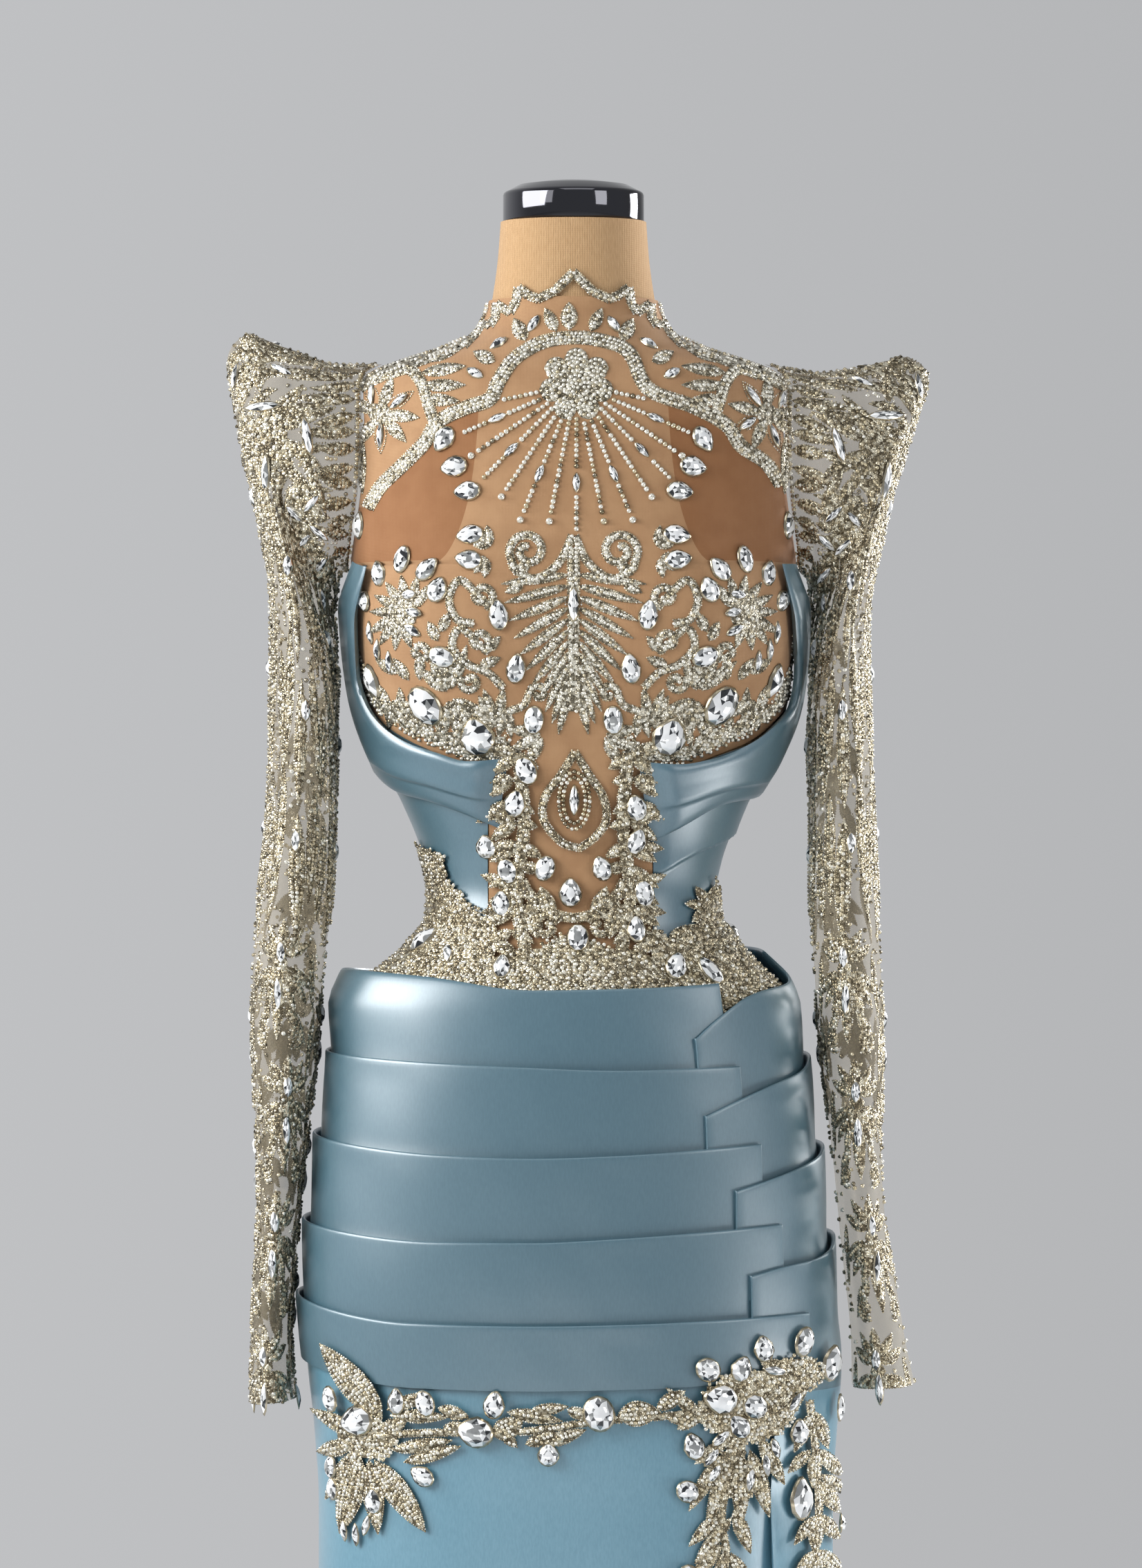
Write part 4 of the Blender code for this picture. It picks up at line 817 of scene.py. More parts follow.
def sleeve_rings(side, cuffs, columns):
    """Rings of a sleeve's outside from the armhole to the hem."""
    turn = 2 * np.pi * np.arange(columns) / columns
    height = ARMHOLE.height + (ARMHOLE.half_height + SLEEVE_WALL) * np.cos(turn)
    rings = [skin(side * (90 - ARMHOLE.front_angle * np.sin(turn)), height, ARMHOLE.lift)]
    for outer, outer_height, inner, inner_height, half_depth, point in cuffs:
        ends = np.array(((side * outer, 0, outer_height), (side * inner, 0, inner_height)), float)
        centre, reach = ends.mean(axis=0), (ends[0] - ends[1]) / 2
        narrowing = 1 - point * np.maximum(0.0, np.cos(turn)) ** 2
        ring = centre + reach * np.cos(turn)[:, None]
        ring[:, 1] -= half_depth * np.sin(turn) * narrowing
        rings.append(ring)
    return np.array(rings)


def sleeve_grid(side, cuffs):
    """Fine grid of a sleeve's outside with its wrinkles, right side out."""
    grid = spline_rows(sleeve_rings(side, cuffs, SLEEVE_COLUMNS), SLEEVE_ROWS)
    normals = grid_normals(grid, True) * -side
    rows, columns = grid.shape[:2]
    share = np.linspace(0, 1, rows)[:, None]
    turn = 2 * np.pi * np.arange(columns)[None, :] / columns
    # Long folds down the rear, then creases across at the elbow and finer ones below it
    rear = np.maximum(0.0, -np.sin(turn))
    folds = 1.6 * rear * np.sin(9 * turn + 3 * share) * ramp(share, 0.35, 0.6)
    creases = 0.8 * np.sin(38 * share + 2.5 * np.sin(turn + side)) * bell(share, 0.58, 0.12)
    creases = creases + 0.5 * np.sin(61 * share + 3 * np.cos(turn)) * ramp(share, 0.3, 0.5)
    fade = ramp(share, 0.02, 0.2)
    return grid + normals * ((folds + creases) * fade)[..., None] * 0.9


SLEEVES = {-1: sleeve_grid(-1, RIGHT_SLEEVE), 1: sleeve_grid(1, LEFT_SLEEVE)}


def build_sleeves():
    """Sheer sleeves, each one open tube of a single layer."""
    for name, side in SIDES:
        grid = np.roll(SLEEVES[side][:, ::-side], -(SLEEVE_COLUMNS // 2), axis=1)
        grid = np.concatenate((grid, grid[:, :1]), axis=1)
        node = "sleeve_" + name
        piece = new_piece(node + "_tulle", grid, grid_faces(*grid.shape[:2]), TULLE)
        declare(grid, node)


# Beads and stones

THREAD, SEED, CRYSTAL, OVAL, PEAR, NAVETTE = range(6)
BEAD_HEIGHT = {THREAD: 0.6, SEED: 0.46, CRYSTAL: 0.55, OVAL: 0.34, PEAR: 0.34, NAVETTE: 0.50}
TILT = {THREAD: 0.5, SEED: 0.5, CRYSTAL: 0.26, OVAL: 0.08, PEAR: 0.08, NAVETTE: 0.12}
THREAD_SIZE = 1.7
SEED_SIZE = 3.0
SEED_SPREAD = 0.16
STONE_RINGS = ((1.12, 0.0), (1.10, 0.24), (0.98, 0.34), (0.72, 0.78), (0.42, 1.0))
# Sides of each kind, and its rings from its setting to its table: radius share and height share
FACETS = {
    THREAD: (4, ((1.0, 0.0), (0.0, 1.0))),
    SEED: (6, ((1.0, 0.0), (0.55, 1.0))),
    CRYSTAL: (8, ((1.0, 0.0), (0.50, 1.0))),
    OVAL: (10, STONE_RINGS),
    PEAR: (10, STONE_RINGS),
    NAVETTE: (8, ((1.12, 0.0), (1.08, 0.24), (0.94, 0.34), (0.50, 0.90), (0.20, 1.0))),
}


def stone_outline(kind, turn):
    """Outline of a bead or stone, half as wide and half as long as 1."""
    across, along = np.cos(turn), np.sin(turn)
    if kind == PEAR:
        across = across * (1 - 0.42 * np.maximum(0.0, along) ** 1.3)
    if kind == NAVETTE:
        across = across * np.abs(across) ** 0.45
    return across / 2, along / 2


def stone_template(kind):
    """Points, triangles and facet kinds of one bead: 0 is its setting, 1 a facet and 2 its table."""
    sides, rings = FACETS[kind]
    points, faces, facets = [], [], []
    for number, (radius, height) in enumerate(rings):
        if radius == 0.0:
            points.append(np.array(((0.0, 0.0, height),)))
            continue
        turn = 2 * np.pi * (np.arange(sides) + 0.5 * (number % 2)) / sides
        across, along = stone_outline(kind, turn)
        points.append(np.column_stack((across * radius, along * radius, np.full(sides, height))))
    for number in range(len(rings) - 1):
        start, above = number * sides, (number + 1) * sides
        for side in range(sides):
            beside = (side + 1) % sides
            facet = 0 if number < 2 and kind >= OVAL else 1
            if rings[number + 1][0] == 0.0:
                faces.append((start + side, start + beside, above))
                facets.append(1)
                continue
            a, b, c, d = start + side, start + beside, above + beside, above + side
            faces += [(a, c, d), (a, b, c)] if number % 2 else [(a, b, d), (b, c, d)]
            facets += [facet, facet]
    if rings[-1][0] > 0.0:
        last = (len(rings) - 1) * sides
        faces += [(last, last + side, last + side + 1) for side in range(1, sides - 1)]
        facets += [2] * (sides - 2)
    return np.concatenate(points), np.array(faces), np.array(facets)


def gleam(name, colour, roughness, metallic, contrast=0.06):
    """Bead or facet whose tone drifts a little; it is partly diffuse rather than all mirror, so a light
    colour paints in the glint that foil behind glass would reflect.
    """
    made = new_material(name, colour, roughness, metallic, Specular_IOR_Level=0.8)
    low = tuple(max(0.0, part - contrast) for part in colour)
    high = tuple(min(1.0, part + contrast) for part in colour)
    colour_noise(made, low, high, 300.0)
    return made


def bed_material(name, dark, middle, light):
    """Tiny beads sewn side by side: a dome to each, of three mixed tones."""
    made = new_material(name, middle, 0.27, 0.75)
    shader = made.node_tree.nodes["Principled BSDF"]
    space = texture_space(made)
    cells = add_node(made, "ShaderNodeTexVoronoi", Scale=BED_CELLS, Randomness=0.7)
    part = add_node(made, "ShaderNodeSeparateColor")
    colours = add_node(made, "ShaderNodeValToRGB")
    colours.color_ramp.elements.new(0.5)
    for element, place, colour in zip(colours.color_ramp.elements, (0.2, 0.5, 0.8), (dark, middle, light)):
        element.position = place
        element.color = (*colour, 1)
    bump = add_node(made, "ShaderNodeBump", invert=True, Strength=1.0, Distance=0.0010)
    link(
        made,
        (space, "Vector", cells, "Vector"),
        (cells, "Color", part, "Color"),
        (part, "Red", colours, "Fac"),
        (colours, "Color", shader, "Base Color"),
        (cells, "Distance", bump, "Height"),
        (bump, "Normal", shader, "Normal"),
    )
    return made


BED_CELLS = 440.0
# Stone facets take painted glints and painted grey and dark reflections; clear glass shows these only by
# reflecting its lamps and surroundings.
SILVER, GOLD, SHADE, SETTING, PAINTED_GLINT, PAINTED_GREY_REFLECTION, PAINTED_DARK_REFLECTION, BED_SILVER, BED_GOLD = range(9)
BEAD_LOOKS = (
    gleam("bead_silver_look", (0.82, 0.79, 0.69), 0.16, 0.60),
    gleam("bead_champagne_look", (0.60, 0.52, 0.36), 0.20, 0.70),
    gleam("bead_shade_look", (0.26, 0.225, 0.16), 0.22, 0.9),
    gleam("setting_look", (0.50, 0.44, 0.32), 0.25, 0.9),
    gleam("facet_painted_glint_look", (0.95, 0.96, 0.96), 0.05, 0.30, 0.03),
    gleam("facet_painted_grey_reflection_look", (0.50, 0.51, 0.50), 0.05, 0.70),
    gleam("facet_painted_dark_reflection_look", (0.10, 0.105, 0.11), 0.06, 0.8, 0.03),
    bed_material("bead_bed_silver_look", (0.15, 0.13, 0.09), (0.41, 0.365, 0.27), (0.78, 0.74, 0.62)),
    bed_material("bead_bed_gold_look", (0.13, 0.105, 0.065), (0.34, 0.285, 0.185), (0.68, 0.63, 0.49)),
)


def body_surface(lie):
    """Chart of the body's front: across and height, a distance outside the figure."""

    def place(across, height):
        angle = angle_at(across, height)
        level = lie(angle, height) if callable(lie) else lie
        return skin(angle, height, level), normal_at(angle, height)

    return place


def round_surface(lie):
    """Chart all round the body: angle and height."""

    def place(angle, height):
        return skin(angle, height, lie), normal_at(angle, height)

    return place


def sleeve_surface(side):
    """Chart of a sleeve: distance round it from its front line, inwards if positive, and distance down it."""
    grid = SLEEVES[side]
    rows, columns = grid.shape[:2]
    ring = np.roll(grid, -(columns // 4), axis=1)
    ring = np.concatenate((ring, ring[:, :1]), axis=1)
    normals = unit(np.cross(np.gradient(ring, axis=1), np.gradient(ring, axis=0)))
    outward = ((ring - ring.mean(axis=1, keepdims=True)) * normals).sum()
    normals = normals * np.sign(outward)
    arcs = np.cumsum(np.linalg.norm(np.diff(ring, axis=1), axis=2), axis=1)
    arcs = np.concatenate((np.zeros((rows, 1)), arcs), axis=1)
    down = np.cumsum(np.linalg.norm(np.diff(ring[:, 0], axis=0), axis=1))
    down = np.concatenate(([0.0], down))

    def place(around, distance):
        row = np.interp(distance, down, np.arange(rows))
        low = np.clip(row.astype(int), 0, rows - 2)
        blend = (row - low)[:, None]
        table = arcs[low]
        around = np.mod(around, table[:, -1])
        column = np.clip((table <= around[:, None]).sum(axis=1) - 1, 0, columns - 1)
        start, end = (table[np.arange(len(row)), number] for number in (column, column + 1))
        part = ((around - start) / np.maximum(end - start, 1e-6))[:, None]
        corners = [ring[low + i, column + j] for i in (0, 1) for j in (0, 1)]
        upper = corners[0] * (1 - part) + corners[1] * part
        lower = corners[2] * (1 - part) + corners[3] * part
        return upper * (1 - blend) + lower * blend, normals[low, column]

    place.length = float(down[-1])
    return place


# Across a bed of tiny beads: share of its half width, and lift off the cloth
BED_SECTION = ((-1.0, -0.3), (-0.8, 0.45), (0.0, 0.75), (0.8, 0.45), (1.0, -0.3))
BED_LIFT = 0.5
BED_STEP = 0.003
BED_STEPS = 90


class BeadField:
    """Beads of one area, gathered motif by motif on a chart; the earlier ones keep their places."""

    def __init__(self, surface, rise=0.0):
        self.surface = surface
        self.rise = rise
        self.rows = []
        self.beds = []

    def add(self, places, width, length=None, turn=0.0, kind=SEED, lift=0.0):
        """Add a bead at each place of the chart."""
        places = np.atleast_2d(np.asarray(places, float))
        parts = (width, length or width, turn, kind, lift)
        columns = [np.broadcast_to(part, len(places)) for part in parts]
        self.rows.append(np.column_stack((places, *columns)))

    def add_bed(self, line, half_width):
        """Add a domed bed along a line; its width may change from place to place."""
        line = np.asarray(line, float)
        half = np.broadcast_to(np.asarray(half_width, float), len(line))
        shares, lifts = np.array(BED_SECTION).T
        grid = np.stack([offset_line(line, share * half) for share in shares], axis=1)
        self.beds.append((grid, np.broadcast_to(lifts, grid.shape[:2]), None))

    def add_patch(self, grid, keep):
        """Add a flat bed over those cells of a grid that are kept."""
        self.beds.append((grid, np.full(grid.shape[:2], 0.25), keep))

    def settled(self):
        """Points, normals and the other columns of the beads that find room."""
        rows = np.concatenate(self.rows)
        points, normals = self.surface(rows[:, 0], rows[:, 1])
        keep = free_of_stones(points, normals, rows) & apart(points, rows[:, 2], rows[:, 5])
        lifts = (self.rise + rows[keep, 6])[:, None]
        return points[keep] + normals[keep] * lifts, normals[keep], rows[keep]

    def bed_mesh(self):
        """Points and triangles of all beds, facing outwards; each lies a hair above the one before."""
        places = np.concatenate([grid.reshape(-1, 2) for grid, _, _ in self.beds])
        points, normals = self.surface(places[:, 0], places[:, 1])
        faces, lifts, count = [], [], 0
        for number, (grid, lift, keep) in enumerate(self.beds):
            rows, columns = grid.shape[:2]
            quads = grid_faces(rows, columns, shift=count)
            quads = quads if keep is None else quads[keep.reshape(-1)]
            faces += [quads[:, [0, 1, 2]], quads[:, [0, 2, 3]]]
            lifts.append(lift.reshape(-1) + BED_STEP * (number % BED_STEPS))
            count += rows * columns
        points = points + normals * (np.concatenate(lifts) + self.rise)[:, None]
        faces = np.concatenate(faces)
        a, b, c = (points[faces[:, corner]] for corner in range(3))
        inward = (np.cross(b - a, c - a) * normals[faces[:, 0]]).sum(axis=1) < 0
        faces[inward] = faces[inward][:, ::-1]
        return points, faces


def side_ways(normals, turn):
    """Two directions in the surface at each bead, turned about its normal."""
    level = unit(np.cross(np.array((0.0, 0.0, 1.0)), normals))
    upward = np.cross(normals, level)
    turn = np.radians(turn)[:, None]
    return level * np.cos(turn) + upward * np.sin(turn), upward * np.cos(turn) - level * np.sin(turn)


# Share of a bead's width that must be clear of a stone, and share of two beads' half widths between them
STONE_SHARE = 0.40
BEAD_SHARE = 0.80
# Side of the boxes in which near beads are looked up
CELL = 6.0


def free_of_stones(points, normals, rows):
    """Which small beads lie clear of every stone."""
    free = np.ones(len(rows), bool)
    large = rows[:, 5] >= OVAL
    across, along = side_ways(normals, rows[:, 4])
    for stone in np.flatnonzero(large):
        near = np.flatnonzero(np.abs(points - points[stone]).max(axis=1) < rows[stone, 3])
        offset = points[near] - points[stone]
        reach = rows[near, 2] * STONE_SHARE
        first = (offset @ across[stone]) / (rows[stone, 2] / 2 + reach)
        second = (offset @ along[stone]) / (rows[stone, 3] / 2 + reach)
        inside = (first * first + second * second < 1) & ((near > stone) | ~large[near])
        free[near[inside & (near != stone)]] = False
    return free


def apart(points, widths, kinds):
    """Which beads keep clear of those placed before them."""
    keep = np.ones(len(points), bool)
    cells = {}
    keys = np.floor(points / CELL).astype(int)
    for index in range(len(points)):
        if kinds[index] >= OVAL:
            continue
        x, y, z = keys[index]
        point, reach = points[index], widths[index] / 2
        close = False
        for key in ((x + i, y + j, z + k) for i in (-1, 0, 1) for j in (-1, 0, 1) for k in (-1, 0, 1)):
            for other, other_reach in cells.get(key, ()):
                limit = BEAD_SHARE * (reach + other_reach)
                gap = point - other
                if gap @ gap < limit * limit:
                    close = True
                    break
            if close:
                break
        if close:
            keep[index] = False
        else:
            cells.setdefault((x, y, z), []).append((point, reach))
    return keep


# Share of gold beads from which the bed under them is gold too
GOLD_SHARE = 0.28
# Sums of the shares of gold and dark tiny beads and of facets with a painted glint and with a painted grey
# reflection, and the share of tables with a painted glint
THREAD_LOOKS = (0.30, 0.85)
FACET_REFLECTION_SHARES = (0.50, 0.80)
PAINTED_GLINT_TABLES = 0.75


def build_beads(name, fields, replaced, gold, shade):
    """One mesh of the beads of a few fields, with the shares of gold and of dark small beads."""
    all_points, all_faces, all_looks = [], [], []
    count = 0
    bed = BED_GOLD if gold > GOLD_SHARE else BED_SILVER
    for field in fields:
        if field.beds:
            points, faces = field.bed_mesh()
            all_points.append(points)
            all_faces.append(faces + count)
            all_looks.append(np.full(len(faces), bed))
            count += len(points)
        points, normals, rows = field.settled()
        for kind in (THREAD, SEED, CRYSTAL, OVAL, PEAR, NAVETTE):
            chosen = rows[:, 5] == kind
            number = int(chosen.sum())
            if not number:
                continue
            template, faces, facets = stone_template(kind)
            centre, upward, row = points[chosen], normals[chosen], rows[chosen]
            across, along = side_ways(upward, row[:, 4])
            upward = unit(upward + TILT[kind] * (RANDOM.random((number, 3)) - 0.5) * 2)
            across = unit(across - upward * (across * upward).sum(axis=1)[:, None])
            along = np.cross(upward, across)
            height = row[:, 2] * BEAD_HEIGHT[kind]
            made = (
                centre[:, None]
                + across[:, None] * (template[None, :, :1] * row[:, 2][:, None, None])
                + along[:, None] * (template[None, :, 1:2] * row[:, 3][:, None, None])
                + upward[:, None] * (template[None, :, 2:] * height[:, None, None])
            )
            offsets = count + np.arange(number) * len(template)
            all_points.append(made.reshape(-1, 3))
            all_faces.append((faces[None] + offsets[:, None, None]).reshape(-1, 3))
            all_looks.append(bead_looks(kind, number, facets, gold, shade))
            count += number * len(template)
    piece = new_piece(name, np.concatenate(all_points), np.concatenate(all_faces), BEAD_LOOKS[0], soft=False)
    for look in BEAD_LOOKS[1:]:
        piece.data.materials.append(look)
    piece.data.polygons.foreach_set("material_index", np.concatenate(all_looks).astype(np.int32))
    if replaced:
        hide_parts(*replaced)


def bead_looks(kind, number, facets, gold, shade):
    """Which look each facet has: small beads have one each, stones have painted glints and painted
    reflections that differ from facet to facet.
    """
    if kind < OVAL:
        low, high = THREAD_LOOKS if kind == THREAD else (gold, gold + shade)
        pick = RANDOM.random(number)
        look = np.where(pick < low, GOLD, np.where(pick < high, SHADE, SILVER))
        return np.repeat(look, len(facets))
    # Each facet of a stone gets a painted glint or a painted grey or dark reflection, at random.
    pick = RANDOM.random((number, len(facets)))
    look = np.where(pick < FACET_REFLECTION_SHARES[0], PAINTED_GLINT, np.where(pick < FACET_REFLECTION_SHARES[1], PAINTED_GREY_REFLECTION, PAINTED_DARK_REFLECTION))
    look = np.where(facets[None, :] == 0, SETTING, look)
    table = np.where(RANDOM.random((number, 1)) < PAINTED_GLINT_TABLES, PAINTED_GLINT, PAINTED_GREY_REFLECTION)
    return np.where(facets[None, :] == 2, table, look).reshape(-1)


# Motifs

# Pitch of a row as a share of its beads' size, and how much longer than wide a long pointed stone is at least
ROW_PITCH = 0.98
LONG_STONE = 1.8


def turn_of(start, end):
    """Direction from one place to another, in degrees."""
    return math.degrees(math.atan2(end[1] - start[1], end[0] - start[0]))


def smooth_line(places, pitch):
    """Even places along a smooth curve through a few."""
    fine = spline_rows(np.asarray(places, float), 12)
    steps = np.linalg.norm(np.diff(fine, axis=0), axis=1)
    far = np.concatenate(([0.0], np.cumsum(steps)))
    count = max(2, int(round(far[-1] / pitch)) + 1)
    along = np.linspace(0, far[-1], count)
    return np.column_stack([np.interp(along, far, fine[:, column]) for column in range(2)])


def offset_line(line, distance):
    """Line beside another one."""
    way = unit(np.gradient(line, axis=0))
    return line + np.column_stack((-way[:, 1], way[:, 0])) * np.asarray(distance)[..., None]


def uneven(size, count):
    """Sizes of a few beads, which differ a little."""
    return size * (1 + SEED_SPREAD * (RANDOM.random(count) - 0.5))


def way_of(turn):
    """Direction of an angle in radians."""
    return np.array((math.cos(turn), math.sin(turn)))


def fan_turns(start, end, count):
    """Numbered directions from one to another, which are given in degrees."""
    return enumerate(np.radians(np.linspace(start, end, count)))


def mirror(sign):
    """Function that gives one place or a few as they are, or mirrored if the sign is negative."""
    return lambda *places: np.array(places, float) * (sign, 1.0)


def row(field, places, size=SEED_SIZE, kind=SEED, lift=0.0):
    """Single row of beads."""
    line = smooth_line(places, size * ROW_PITCH)
    field.add(line, uneven(size, len(line)), kind=kind, lift=lift)


def thread(field, places):
    """Row of tiny dark beads that edges a motif."""
    line = smooth_line(places, THREAD_SIZE)
    field.add(line, THREAD_SIZE, kind=THREAD)


def band(field, places, half_width):
    """Rows of crystals side by side along a curve, edged with tiny beads."""
    line = smooth_line(places, SEED_SIZE)
    within = half_width - (THREAD_SIZE + SEED_SIZE) / 2 * 0.9
    count = max(1, int(round(2 * within / SEED_SIZE)) + 1)
    field.add_bed(line, half_width)
    for offset in np.linspace(-within, within, count) if count > 1 else (0.0,):
        row(field, offset_line(line, offset), lift=BED_LIFT)
    for offset in (-half_width, half_width):
        thread(field, offset_line(line, offset))


def leaf(field, base, tip, width, size=SEED_SIZE, stone=False):
    """Pointed leaf of rows from base to tip, filled or with a long stone in it."""
    base, tip = np.asarray(base, float), np.asarray(tip, float)
    length = float(np.linalg.norm(tip - base))
    share = np.linspace(0, 1, 9)
    spine = base + (tip - base) * share[:, None]
    half = width / 2 * np.sin(np.pi * share**0.85) ** 0.8
    if stone:
        field.add((base + tip) / 2, width * 0.72, length * 0.72, turn_of(base, tip) - 90, NAVETTE)
    else:
        field.add_bed(spine, np.maximum(half, 0.5))
    for side in (-1, 1):
        thread(field, offset_line(spine, side * half))
    if stone:
        return
    row(field, spine, size, lift=BED_LIFT)
    level = 1 - (size + THREAD_SIZE) / width
    while level * width > size * 0.9:
        for side in (-1, 1):
            row(field, offset_line(spine, side * level * half), size, lift=BED_LIFT)
        level -= 2 * size / width


def spray(field, centre, reach, start, end, count, width, every_stone=0, inner=0.12, **leaf_values):
    """Leaves that fan out from a centre; a reach can change from the first to the last."""
    reach = np.linspace(*reach, count) if isinstance(reach, tuple) else np.full(count, float(reach))
    for number, turn in fan_turns(start, end, count):
        way = way_of(turn)
        stone = bool(every_stone) and number % every_stone == every_stone - 1
        base, tip = centre + way * inner * reach[number], centre + way * reach[number]
        leaf(field, base, tip, width, stone=stone, **leaf_values)


def side_spray(field, sign, place, reach, right, left, count, width):
    """Leaves that fan out on one side; their first and last direction are given for both."""
    spray(field, mirror(sign)(*place), reach, *(left if sign > 0 else right), count, width)


FAN_WIDTH = 8.5


def fan(field, centre, ends, count, foot, reaches):
    """Leaves round a centre, whose lengths take turns."""
    for number, turn in fan_turns(*ends, count):
        way = way_of(turn)
        leaf(field, centre + way * foot, centre + way * reaches[number % 3], FAN_WIDTH)


def leaves(field, table, size, sign=1):
    """Leaves of a table: across and height of the foot and of the tip, and width."""
    for across, height, tip_across, tip_height, width in table:
        leaf(field, (sign * across, height), (sign * tip_across, tip_height), width, size)


def scroll(field, centre, radius, start, turns, half_width, tail=()):
    """Spiral that winds outwards from its middle, then runs on along a tail."""
    steps = max(6, int(abs(turns) * 12))
    share = np.linspace(0, 1, steps)
    turn = math.radians(start) + 2 * math.pi * turns * share
    out = radius * (0.22 + 0.78 * share**0.8)
    line = np.column_stack((centre[0] + out * np.cos(turn), centre[1] + out * np.sin(turn)))
    if len(tail):
        line = np.concatenate((line, np.asarray(tail, float)))
    band(field, line, half_width)


def side_scroll(field, sign, place, radius, start, turns, half_width, tail=()):
    """Spiral on one side; the right one mirrors the left one."""
    at = mirror(sign)
    start = start if sign > 0 else 180 - start
    scroll(field, at(*place), radius, start, turns * sign, half_width, at(*tail) if tail else ())


def disc(field, centre, radius, size=SEED_SIZE):
    """Round heap of beads."""
    chord = np.linspace(-1, 1, 9) * radius
    line = np.column_stack((centre[0] + chord, np.full(9, float(centre[1]))))
    field.add_bed(line, np.maximum(np.sqrt(np.maximum(0, radius * radius - chord * chord)), 0.3))
    for ring in np.arange(0.0, radius + 0.1, size * ROW_PITCH):
        count = max(1, int(2 * math.pi * ring / (size * ROW_PITCH)))
        turn = 2 * math.pi * np.arange(count) / count + ring
        places = np.column_stack((centre[0] + ring * np.cos(turn), centre[1] + ring * np.sin(turn)))
        field.add(places, uneven(size, count), lift=BED_LIFT)


def flower(field, centre, reach, petals, start=0.0, width=0.42, stones=0):
    """Open flower: leaves all round a heaped middle."""
    centre = np.asarray(centre, float)
    spray(field, centre, reach, start, start + 360 - 360 / petals, petals, reach * width, stones)
    disc(field, centre, reach * 0.28, SEED_SIZE * 1.15)


def add_stones(field, stones, kind=None, side=-1):
    """Large stones, mirrored on the left side; one much longer than it is wide is a long pointed one."""
    for number, (across, height, width, length, turn) in enumerate(stones):
        chosen = kind
        if chosen is None:
            chosen = NAVETTE if length > LONG_STONE * width else (PEAR if number % 3 else OVAL)
        field.add((-side * across, height), width, length, -side * turn, chosen)


# Greatest angle from the centre front that a bed or strewn beads reach, and size of a bed's cells
PATCH_REACH = 86.0
PATCH_PITCH = 3.2


def scatter(field, inside, low, high, pitch, big):
    """Beads strewn evenly over the part of the body where a test says so; big is the share of larger ones."""
    heights = np.arange(low, high, pitch * 0.87)
    radius = np.linalg.norm(figure(60.0, heights)[..., :2], axis=-1)
    step = np.degrees(pitch / radius)[:, None]
    columns = int(PATCH_REACH / step.min()) + 1
    shift = 0.5 * (np.arange(len(heights)) % 2)[:, None]
    angles = (np.arange(-columns, columns + 1)[None, :] + shift) * step
    angles = angles + (RANDOM.random(angles.shape) - 0.5) * step * 0.5
    levels = heights[:, None] + (RANDOM.random(angles.shape) - 0.5) * pitch * 0.5
    across = figure(angles, levels)[..., 0]
    # A draw that isn't used, so that all later ones stay as they are
    RANDOM.random(angles.shape)
    chosen = (np.abs(angles) < PATCH_REACH) & inside(across, levels)
    places = np.column_stack((across[chosen], levels[chosen]))
    sizes = uneven(SEED_SIZE, len(places))
    larger = RANDOM.random(len(places)) < big
    if (~larger).any():
        field.add(places[~larger], sizes[~larger])
    if larger.any():
        field.add(places[larger], sizes[larger] * 1.5, kind=CRYSTAL)


def cover(field, inside, low, high):
    """Bed over the part of the body where a test says so."""
    heights = np.arange(low, high + PATCH_PITCH, PATCH_PITCH)[:, None]
    radius = float(np.linalg.norm(figure(60.0, (low + high) / 2)[:2]))
    columns = int(np.radians(2 * PATCH_REACH) * radius / PATCH_PITCH)
    angles = np.linspace(-PATCH_REACH, PATCH_REACH, columns)[None, :]
    places = figure(angles, heights)
    within = inside(places[..., 0], places[..., 2])
    keep = within[1:, 1:] & within[:-1, 1:] & within[1:, :-1] & within[:-1, :-1]
    field.add_patch(places[..., [0, 2]], keep)


# Beadwork of the bodice, in millimetres across and up. A stone is its place, width, length and turn; a leaf
# is its foot, its tip and its width

COLLAR_STONES = (
    (-27, 1461, 7, 14, -25), (-51, 1447, 7, 14, -38), (-67, 1426, 7, 13, 62),
)
YOKE_STONES = (
    (-88, 1381, 14, 18, 150), (-81, 1362, 14, 18, 100), (-72, 1345, 13, 18, 95), (-70, 1315, 13, 18, 100),
    (-71, 1298, 13, 18, 80),
)
YOKE_LEAVES = ((33, 1449, 40, 1465, 10), (54, 1434, 68, 1441, 9), (12, 1456, 19, 1472, 8))
BUST_STONES = (
    (-100, 1200, 22, 28, 30), (-65, 1179, 23, 26, 10), (-136, 1217, 13, 24, 18), (-89, 1233, 14, 18, 70),
    (-51, 1261, 13, 20, 8), (-39, 1225, 13, 20, -8), (-27, 1190, 13, 19, -5), (-142, 1272, 13, 17, 60),
    (-132, 1290, 13, 17, 20), (-116, 1299, 13, 18, -10), (-99, 1292, 13, 18, -45), (-92, 1278, 14, 17, -20),
    (-138, 1250, 6, 15, 5), (-133, 1238, 6, 15, -12), (-125, 1230, 6, 15, -10), (-108, 1263, 7, 14, 80),
    (-109, 1251, 7, 14, 60), (-111, 1275, 7, 13, 95),
)
